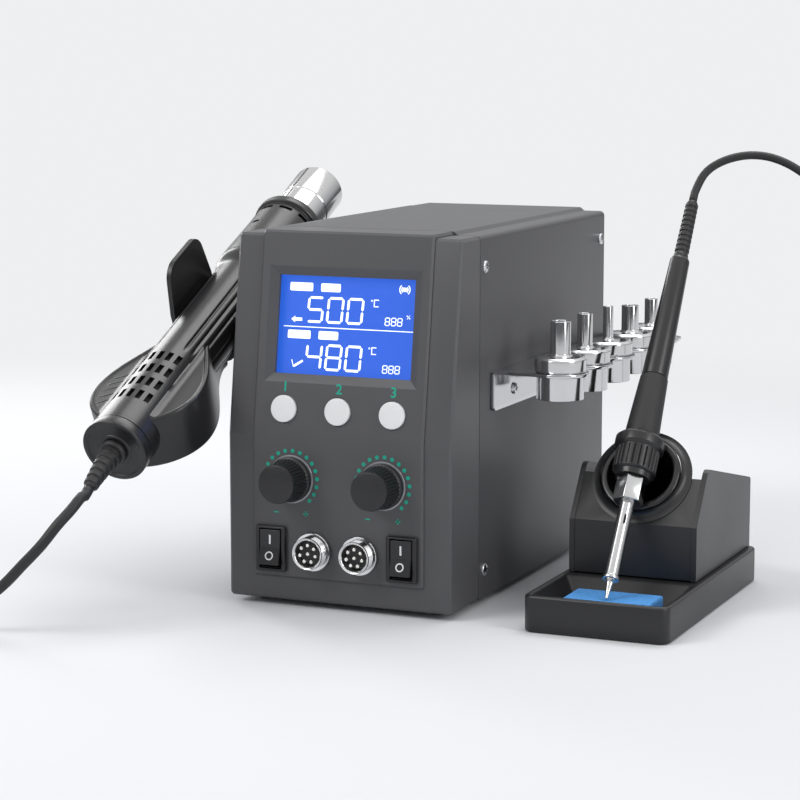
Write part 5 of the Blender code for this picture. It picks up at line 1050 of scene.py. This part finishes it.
stations, radii = ribbed_line(3.2, 25.4, 6, 5.3, 3.3, 0.75)
stations = np.concatenate([[-2.4, -2.4, 0.3, 0.45, 2.3, 2.7, 3.0], stations, [25.6, 25.6]])
radii = np.concatenate([[0, 3.6, 3.6, 6.3, 6.3, 5.9, 4.6], radii, [2.45, 0]])
relief_points = np.stack([np.zeros_like(stations), -stations, -relief_bend * np.maximum(stations, 0) ** 2], 1)
relief_points[1] += (0, 1e-4, 0)
relief_points[-1] -= (0, 1e-4, 0)
add_piece("gun_cable_sleeve", [swept(relief_points, radii)], gun_frame, relief_rubber, "gun",
          ["gun_strain_relief"], 50)

# Gun's collar and barrel: a slotted nylon collar that shades the heat, and a polished steel barrel
# with a rolled seam and a wider mouth that takes the nozzles.
chrome = finish("polished_chrome", (0.62, 0.62, 0.63), 0.12, 1.0, 0.04, 0.05, 0.02, 2000, 50)
steel_brushed = finish("barrel_steel", (0.56, 0.56, 0.565), 0.17, 1.0, 0.05, 0.06, 0.05, 900, 60,
                       (1, 0.1, 0.1))
collar_slots = []
for k in range(10):
    a = -math.pi + 2 * math.pi * (k + 0.5) / 10
    collar_slots.append((190.2, 192.4, a - 0.2, a + 0.2))
    if k % 2 == 0:
        collar_slots.append((176.0, 178.0, a - 0.12, a + 0.12))


def collar_radius(s, a):
    """A slow taper that swells into a ring at the front, with one thin step behind it."""
    ring = smooth_step(s, 195.4, 195.9) * 1.05
    waist = smooth_step(s, 193.2, 193.5) * (1 - smooth_step(s, 195.2, 195.4)) * 0.45
    return 17.45 - 0.5 * smooth_step(s, 150, 186) + ring - waist


def collar_shell():
    """Outer skin with its slots, then the front face, the bore and the rear face as plain rings."""
    s_lines = edge_lines(150.3, 199.5, sorted({e for cut in collar_slots for e in cut[:2]}
                                              | {193.3, 195.3, 195.7}), 1.6)
    a_lines = edge_lines(-math.pi, math.pi, sorted({e for cut in collar_slots for e in cut[2:]}),
                         math.radians(4.0))[:-1]
    points, _ = pocketed(s_lines, a_lines, collar_radius, collar_slots, 2.0, True)
    count = len(a_lines)
    rings = []
    for reach, s in ((17.9, 199.95), (17.2, 200.0), (13.3, 200.0), (13.0, 199.7), (13.0, 156.0),
                     (10.0, 156.0), (10.0, 149.9), (17.2, 149.9)):
        rings.append(np.stack([reach * np.sin(a_lines), np.full(count, s), reach * np.cos(a_lines)], 1))
    return np.vstack([points] + rings), grid_faces(len(s_lines) + len(rings), count, True, True)


add_piece("gun_heat_collar", [collar_shell()], gun_frame, gun_black, "gun",
          ["gun_collar"], 30)
barrel_wall_line = rounded([(12.7, 156.2), (12.7, 217.6), (13.15, 218.2), (13.15, 238.4), (12.8, 239.0),
                            (11.3, 239.0), (11.1, 238.6), (11.1, 218.0), (12.0, 217.0), (12.0, 156.2)],
                           0.2, 2)
add_piece("gun_steel_barrel", [moved(turned(barrel_wall_line, 128, True), (0, 0, 0), ALONG)], gun_frame,
          steel_brushed, "gun", ["gun_barrel"], 30)
seam_dark = finish("seam_shadow", (0.05, 0.05, 0.052), 0.4, 0.8)
a = np.linspace(-0.055, 0.055, 5) + math.radians(-14)
seam = []
for radius, s0, s1 in ((12.7, 200.2, 217.4), (13.15, 218.6, 238.2)):
    ring = np.stack([np.sin(a), np.zeros(5), np.cos(a)], 1)
    loop = np.vstack([ring * (radius + 0.04), (ring * (radius - 0.1))[::-1]])
    ends = np.vstack([loop + (0, s0, 0), loop + (0, s1, 0)])
    faces = [(i, (i + 1) % 10, (i + 1) % 10 + 10, i + 10) for i in range(10)]
    seam.append((ends, faces + [tuple(range(9, -1, -1)), tuple(range(10, 20))]))
add_piece("gun_barrel_seam", seam, gun_frame, seam_dark, "gun")
paint_node("gun_heater", finish("heater_mica", (0.42, 0.38, 0.30), 0.6))

# Gun's holder: moulded nylon cradle with a tall cheek, screwed to the left wall.
holder_black = finish("holder_nylon", (0.013, 0.013, 0.014), 0.38, 0.0, 0.08, 0.07, 0.25, 1500)


def cheek_corner(edge):
    """True for the two short edges across the tall cheek's upper corners."""
    a, b = (from_gun @ vert.co / MM for vert in edge.verts)
    return min(a.z, b.z) > 29.0 and abs(a.x - b.x) > 1.5 and abs(a.y - b.y) < 0.5


softened("gun_cradle", "gun_holder", holder_black, "cabinet", 0.7, 3, 28, cheek_corner, 7.0)

# Nozzle rack: chromed 1.6 mm sheet. Five lobes are cut round the holes, and the flange is screwed to
# the right wall.
shelf_level, shelf_sheet = 107.0, 1.6
shelf_front, shelf_rear = 49.0, 213.0
nozzle_first, nozzle_pitch = 59.5, 33.8
row_x = half_case + 30.0
skirt_radius = 10.8
rack_hole = skirt_radius + 0.3
lobe_radius = rack_hole + 2.4
wall_x = half_case + 0.3
waist = math.acos(3.0 / lobe_radius)
lobes = [(wall_x, shelf_rear), (wall_x, shelf_front)]
for k in range(5):
    y = nozzle_first + k * nozzle_pitch
    start = -math.pi + math.asin((y - shelf_front) / lobe_radius) if k == 0 else -waist
    stop = waist if k < 4 else 0.35
    a = np.linspace(start, stop, 28)
    lobes += list(zip(row_x + lobe_radius * np.cos(a), y + lobe_radius * np.sin(a)))
shelf_edge = row_x + lobe_radius - 1.5
last_y = nozzle_first + 4 * nozzle_pitch
lobes += rounded([(shelf_edge, shelf_rear), (0, shelf_rear), (shelf_edge, last_y)], [6.0, 0, 0], 10)[:11]
holes = [circle(rack_hole, row_x, nozzle_first + k * nozzle_pitch, 72) for k in range(5)]
shelf = slab([lobes] + holes, shelf_level - shelf_sheet, shelf_level, 0.3)
flange_low, flange_high, flange_rear = shelf_level - 18.6, shelf_level - 0.4, case_depth - 4
flange_line = rounded([(shelf_front, flange_low), (flange_rear, flange_low), (flange_rear, flange_high),
                       (shelf_front, flange_high)], [2.5, 2.5, 0.4, 0.4], 6)
flange = moved(slab([flange_line], 0, shelf_sheet, 0.3), (wall_x, 0, 0), [("X", 90), ("Z", 90)])
add_piece("chrome_rack", [shelf, flange], STATION, chrome, "cabinet", ["nozzle_rack"], 35)
flange_places = [(wall_x + shelf_sheet, y, shelf_level - 11.0) for y in (74.2, 184.0)]
heads, bars = crossed_screws(flange_places, [("Y", 90)], (2.7, 1.5), (1.4, 0.27), (1.05, 1.54), 15)
add_piece("rack_screws", heads, STATION, bright_zinc, "cabinet")
# The rack screws' cross slots are painted shade too.
add_piece("rack_screw_slots", bars, STATION, slot_shade, "cabinet")

# Nozzles: deep-drawn and polished, each with a rolled collar over its skirt and a spout of its own
# bore. They stand spout up in the rack's holes.
roll_radius = rack_hole + 0.8
bore = skirt_radius - 0.8
spouts = [(4.7, 23.3), (3.6, 23.3), (2.45, 23.3), (4.2, 20.4), (3.35, 20.4)]
for k, (spout, height) in enumerate(spouts):
    corners = [(spout, height), (spout, 8.3), (spout + 0.8, 7.3), (roll_radius - 1.4, 7.0),
               (roll_radius, 6.0), (roll_radius, 1.0), (roll_radius - 0.35, 0.32), (skirt_radius, 0.32),
               (skirt_radius, -12.4),
               (bore, -12.4), (bore, 5.8), (spout - 0.8, 7.4), (spout - 0.8, height)]
    profile = rounded(corners, [0.25, 0.6, 0.6, 0.9, 0.8, 0.3, 0.1, 0.1, 0.25, 0.2, 0.5, 0.3, 0.2], 5)
    place = local_frame((row_x, nozzle_first + k * nozzle_pitch, shelf_level))
    add_piece(f"nozzle_bore_{k + 1}", [turned(profile, 96, True)], place, chrome, f"nozzle_{k + 1}",
              [f"nozzle_{k + 1}"], 40)

# Stand's tray: one moulding in black nylon with a rounded rim and a well whose walls slope in to
# the floor under the sponge.
stand_black = finish("stand_nylon", (0.013, 0.013, 0.014), 0.36, 0.0, 0.08, 0.07, 0.25, 1500, 20)
stand_middle, stand_half = 123.25, 33.25
stand_front, stand_rear = -2.0, 142.0
tray_height, well_floor = 16.4, 4.0
rim_edge = 1.3


def corner_loop(low, high, corner, z):
    """Level loop of a rectangle with round corners: nine points on each quarter circle."""
    loop = []
    for cx, cy, start in ((high[0] - corner, low[1] + corner, -90), (high[0] - corner, high[1] - corner, 0),
                          (low[0] + corner, high[1] - corner, 90), (low[0] + corner, low[1] + corner, 180)):
        a = np.radians(np.linspace(start, start + 90, 9))
        loop.append(np.stack([cx + corner * np.cos(a), cy + corner * np.sin(a), np.full(9, z)], 1))
    return np.vstack(loop)


def tray_shape():
    """Loops from the roof of the hollow underside, over the rim, down the well to its floor's middle.
    The rim's edges are quarter circles, and the well's walls are straight between them and the floor.
    """
    low, high = (stand_middle - stand_half, stand_front), (stand_middle + stand_half, stand_rear)
    hollow = (low[0] + 2.5, 51.3), (high[0] - 2.5, high[1] - 2.5)
    roof = tray_height - 2.5
    rows = [np.tile((stand_middle, 95.0, roof), (36, 1)), corner_loop(*hollow, 1.5, roof),
            corner_loop(*hollow, 1.5, 0.0)]
    outside = [(0.9, 0.0), (0.3, 0.25), (0.0, 0.9), (0.0, tray_height - rim_edge)]
    outside += [(rim_edge * (1 - math.cos(a)), tray_height - rim_edge * (1 - math.sin(a)))
                for a in np.radians([22.5, 45, 67.5, 90])]
    for inset, z in outside:
        near, away = (low[0] + inset, low[1] + inset), (high[0] - inset, high[1] - inset)
        rows.append(corner_loop(near, away, 5 - inset, z))
    edge_levels = tray_height - 1.1 * (1 - np.cos(np.radians([0, 22.5, 45, 67.5, 90])))
    wide = [*(1.1 * (1 - np.sin(np.radians([0, 22.5, 45, 67.5, 90])))), 0, -0.12, -0.5, -1.1]
    for out, z in zip(wide, [*edge_levels, 5.2, 4.5, 4.12, well_floor]):
        share = (z - well_floor) / (tray_height - well_floor)
        inner_low = (101.8 - 9 * share - out, 3.8 - 3 * share - out)
        inner_high = (144.7 + 9 * share + out, 37.3 + 10 * share + out)
        rows.append(corner_loop(inner_low, inner_high, 2.2 + out, z))
    rows.append(np.tile((stand_middle, 20.0, well_floor), (36, 1)))
    return np.vstack(rows), grid_faces(len(rows), 36, False, True)


add_piece("stand_tray", [tray_shape()], STATION, stand_black, "stand", ["stand_base"], 40)

# Stand's cover: the raised hood with a wing on each side of its sloping front, and the fairing
# that sweeps up from the slope to the funnel.
softened("stand_hood", "stand_housing", stand_black, "stand", 1.1, 3, 24)
funnel_frame = local_frame((stand_middle, 60.35, 62.9), 54)
sweep = np.linspace(0, math.pi / 2, 9)
fairing_line = [(23.2 - 4.35 * math.sin(t), -4.6 + 3.4 * (1 - math.cos(t))) for t in sweep]
fairing_line += [(18.85, -5.5), (22.9, -5.5)]
add_piece("stand_fairing", [turned(fairing_line, 96, True)], funnel_frame, stand_black, "stand",
          [], 40)

# Funnel: a heat-proof rolled mouth with its tube inside the hood.
funnel_black = finish("funnel_bakelite", (0.010, 0.010, 0.011), 0.22, 0.0, 0.08, 0.06, 0.08, 1400)
funnel_line = rounded([(18.5, 0.0), (18.5, -2.6), (17.0, -6.0), (15.0, -7.0), (15.0, -34.0), (12.8, -34.0),
                       (12.8, -8.0), (15.0, -2.0), (15.0, 0.0)],
                      [1.7, 1.2, 0.6, 0.5, 0.3, 0.3, 1.5, 1.0, 1.6], 6)
add_piece("funnel_mouth", [turned(funnel_line, 96, True)], funnel_frame, funnel_black, "stand",
          ["stand_funnel"], 40)

# Sponge: light blue cellulose with open pores, lying loose in the well. Its pores are darker: painted shade
# in the pits, over the sponge's own uneven blue.
sponge_blue, tree, shader = new_material("sponge_cellulose", {"Roughness": 0.9})
place = add_node(tree, "TexCoord")
pores = add_node(tree, "TexVoronoi", {"Scale": 620})
fibre = add_node(tree, "TexNoise", {"Scale": 260})
depth = add_node(tree, "MapRange", {"From Max": 0.45})
# Darker blue at the middle of each pore: painted shade in the pits.
pore_shade_tint = add_node(tree, "Mix", {"A": (0.03, 0.16, 0.46, 1), "B": (0.07, 0.30, 0.74, 1)}, data_type="RGBA")
cloud = add_node(tree, "Mix", {"B": (0.11, 0.38, 0.80, 1)}, data_type="RGBA")
relief = add_node(tree, "Bump", {"Strength": 0.7, "Distance": 0.0005})
wire(tree, (place, "Object", pores, "Vector"), (place, "Object", fibre, "Vector"),
     (pores, "Distance", depth, "Value"), (depth, "Result", pore_shade_tint, "Factor"), (pore_shade_tint, "Result", cloud, "A"),
     (fibre, "Fac", cloud, "Factor"), (cloud, "Result", shader, "Base Color"),
     (depth, "Result", relief, "Height"), (relief, "Normal", shader, "Normal"))
sponge_line = rounded(rectangle(20.0, 15.0, 123.25, 19.8), 1.2, 5)
sponge = add_piece("cleaning_sponge", [slab([sponge_line], 4.3, 13.2, 0.9)], STATION, sponge_blue, "stand",
                   ["sponge"], 50)

# Soldering iron: plated tip, steel barrel with its hexagon nut, knurled nylon nut, rubber grip and
# a slim handle that narrows to the cable's sleeve.
tip_plate = finish("tip_plate", (0.60, 0.59, 0.57), 0.26, 1.0, 0.1, 0.1, 0.05)
tip_line = rounded([(0, 55.4), (2.6, 55.4), (2.6, 9.4), (1.75, 8.2), (0.5, 0.5), (0.0, 0.0)],
                   [0, 0.2, 0.5, 0.5, 0.25, 0], 5, closed=False)
add_piece("iron_plated_tip", [turned(tip_line, 48)], iron_frame, tip_plate, "iron",
          ["iron_tip"], 50)
barrel_line = rounded([(2.75, 9.6), (3.7, 9.6), (3.7, 11.0), (3.3, 11.4), (3.3, 47.6), (2.75, 47.6)],
                      [0, 0.3, 0.3, 0.2, 0, 0], 4)
hexagon = [(7.0 * math.cos(t), 7.0 * math.sin(t)) for t in np.radians(np.arange(0, 360, 60) + 30)]
hexagon_nut = slab([rounded(hexagon, 0.5, 3), circle(2.75, count=48)], 47.4, 59.0, 0.35)
add_piece("iron_steel_barrel", [turned(barrel_line, 64, True), hexagon_nut], iron_frame, steel_brushed,
          "iron", ["iron_barrel"], 30)
# Barrel slots: thin near-black bars of painted shade for the openings.
bar = slab([rounded(rectangle(0.55, 2.4), 0.5, 5)], 3.0, 3.34, 0.02)
slots = []
for turn, level in ((-38, 40.8), (28, 38.2), (142, 40.8), (208, 38.2)):
    slots.append(moved(bar, (0, 0, level), [("X", 90), ("Z", turn)]))
add_piece("iron_barrel_slots", slots, iron_frame, hole_shade, "iron")


def knurled(profile, low, high, count, depth, segments=288):
    """Surface of revolution with count grooves between two heights. A groove's depth falls off as
    a cosine across its width and fades in over 0.5 mm at each end.
    """
    points, faces = turned(profile, segments, True)
    angle = np.arctan2(points[:, 1], points[:, 0])
    reach = np.hypot(points[:, 0], points[:, 1])
    wave = np.maximum(0, np.cos(angle * count)) ** 3
    band = smooth_step(points[:, 2], low, low + 0.5) * (1 - smooth_step(points[:, 2], high - 0.5, high))
    outside = reach > np.array(profile)[:, 0].max() - 3.0
    share = 1 - np.where(outside, depth * wave * band, 0) / np.maximum(reach, 1e-6)
    return points * np.stack([share, share, np.ones_like(share)], 1), faces


nut_line = rounded([(9.7, 80.0), (11.3, 78.4), (11.3, 74.6), (10.5, 73.6), (9.9, 73.1)],
                   [0.6, 0.6, 0.5, 0.3, 0], 4, closed=False)
groove_levels = (72.9, 72.75, 72.6, 72.4, *np.linspace(72.0, 63.4, 12), 63.1, 62.9, 62.75, 62.6)
nut_line += [(9.9, z) for z in groove_levels]
nut_line += [(9.8, 62.3), (8.4, 61.6), (8.0, 59.3), (4.7, 59.3), (4.7, 80.0)]
add_piece("iron_knurled_nut", [knurled(nut_line, 62.6, 72.9, 22, 0.75)], iron_frame, gun_black, "iron",
          ["iron_collar_nut"], 45)
grip_rubber = finish("grip_rubber", (0.012, 0.012, 0.013), 0.55, 0.0, 0.12, 0.08, 0.25, 1600)
grip_line = rounded([(6.4, 110.8), (7.7, 84.0), (7.7, 80.3), (4.7, 80.3), (4.7, 110.8)],
                    [0.4, 6, 0.5, 0.2, 0.2], 6)
add_piece("iron_rubber_grip", [turned(grip_line, 72, True)], iron_frame, grip_rubber, "iron",
          ["iron_grip"], 45)
handle_line = rounded([(3.8, 175.0), (4.6, 173.5), (6.1, 111.1), (4.4, 111.1), (4.4, 63.3), (3.6, 63.3),
                       (2.6, 175.0)], [0.3, 0.9, 0.3, 0, 0, 0, 0.1], 4)
add_piece("iron_slim_handle", [turned(handle_line, 72, True)], iron_frame, gun_black, "iron",
          ["iron_handle"], 45)
stations, radii = ribbed_line(178.2, 205.4, 10, 3.4, 3.0, 0.45)
stations = np.concatenate([[170.4, 170.4001, 175.3, 175.31, 176.6, 177.0, 177.8], stations, [206.3, 206.31]])
radii = np.concatenate([[0, 2.3, 2.3, 3.4, 3.4, 3.2, 2.8], radii, [2.05, 0]])
sleeve_points = np.stack([np.zeros_like(stations), np.zeros_like(stations), stations], 1)
add_piece("iron_cable_sleeve", [swept(sleeve_points, radii)], iron_frame, relief_rubber, "iron",
          ["iron_strain_relief"], 50)

# Plugs: knurled shells in nickel plate lie on the bench at the far end of each cord.
for name in ("gun", "iron"):
    paint_node(f"{name}_plug", nickel)
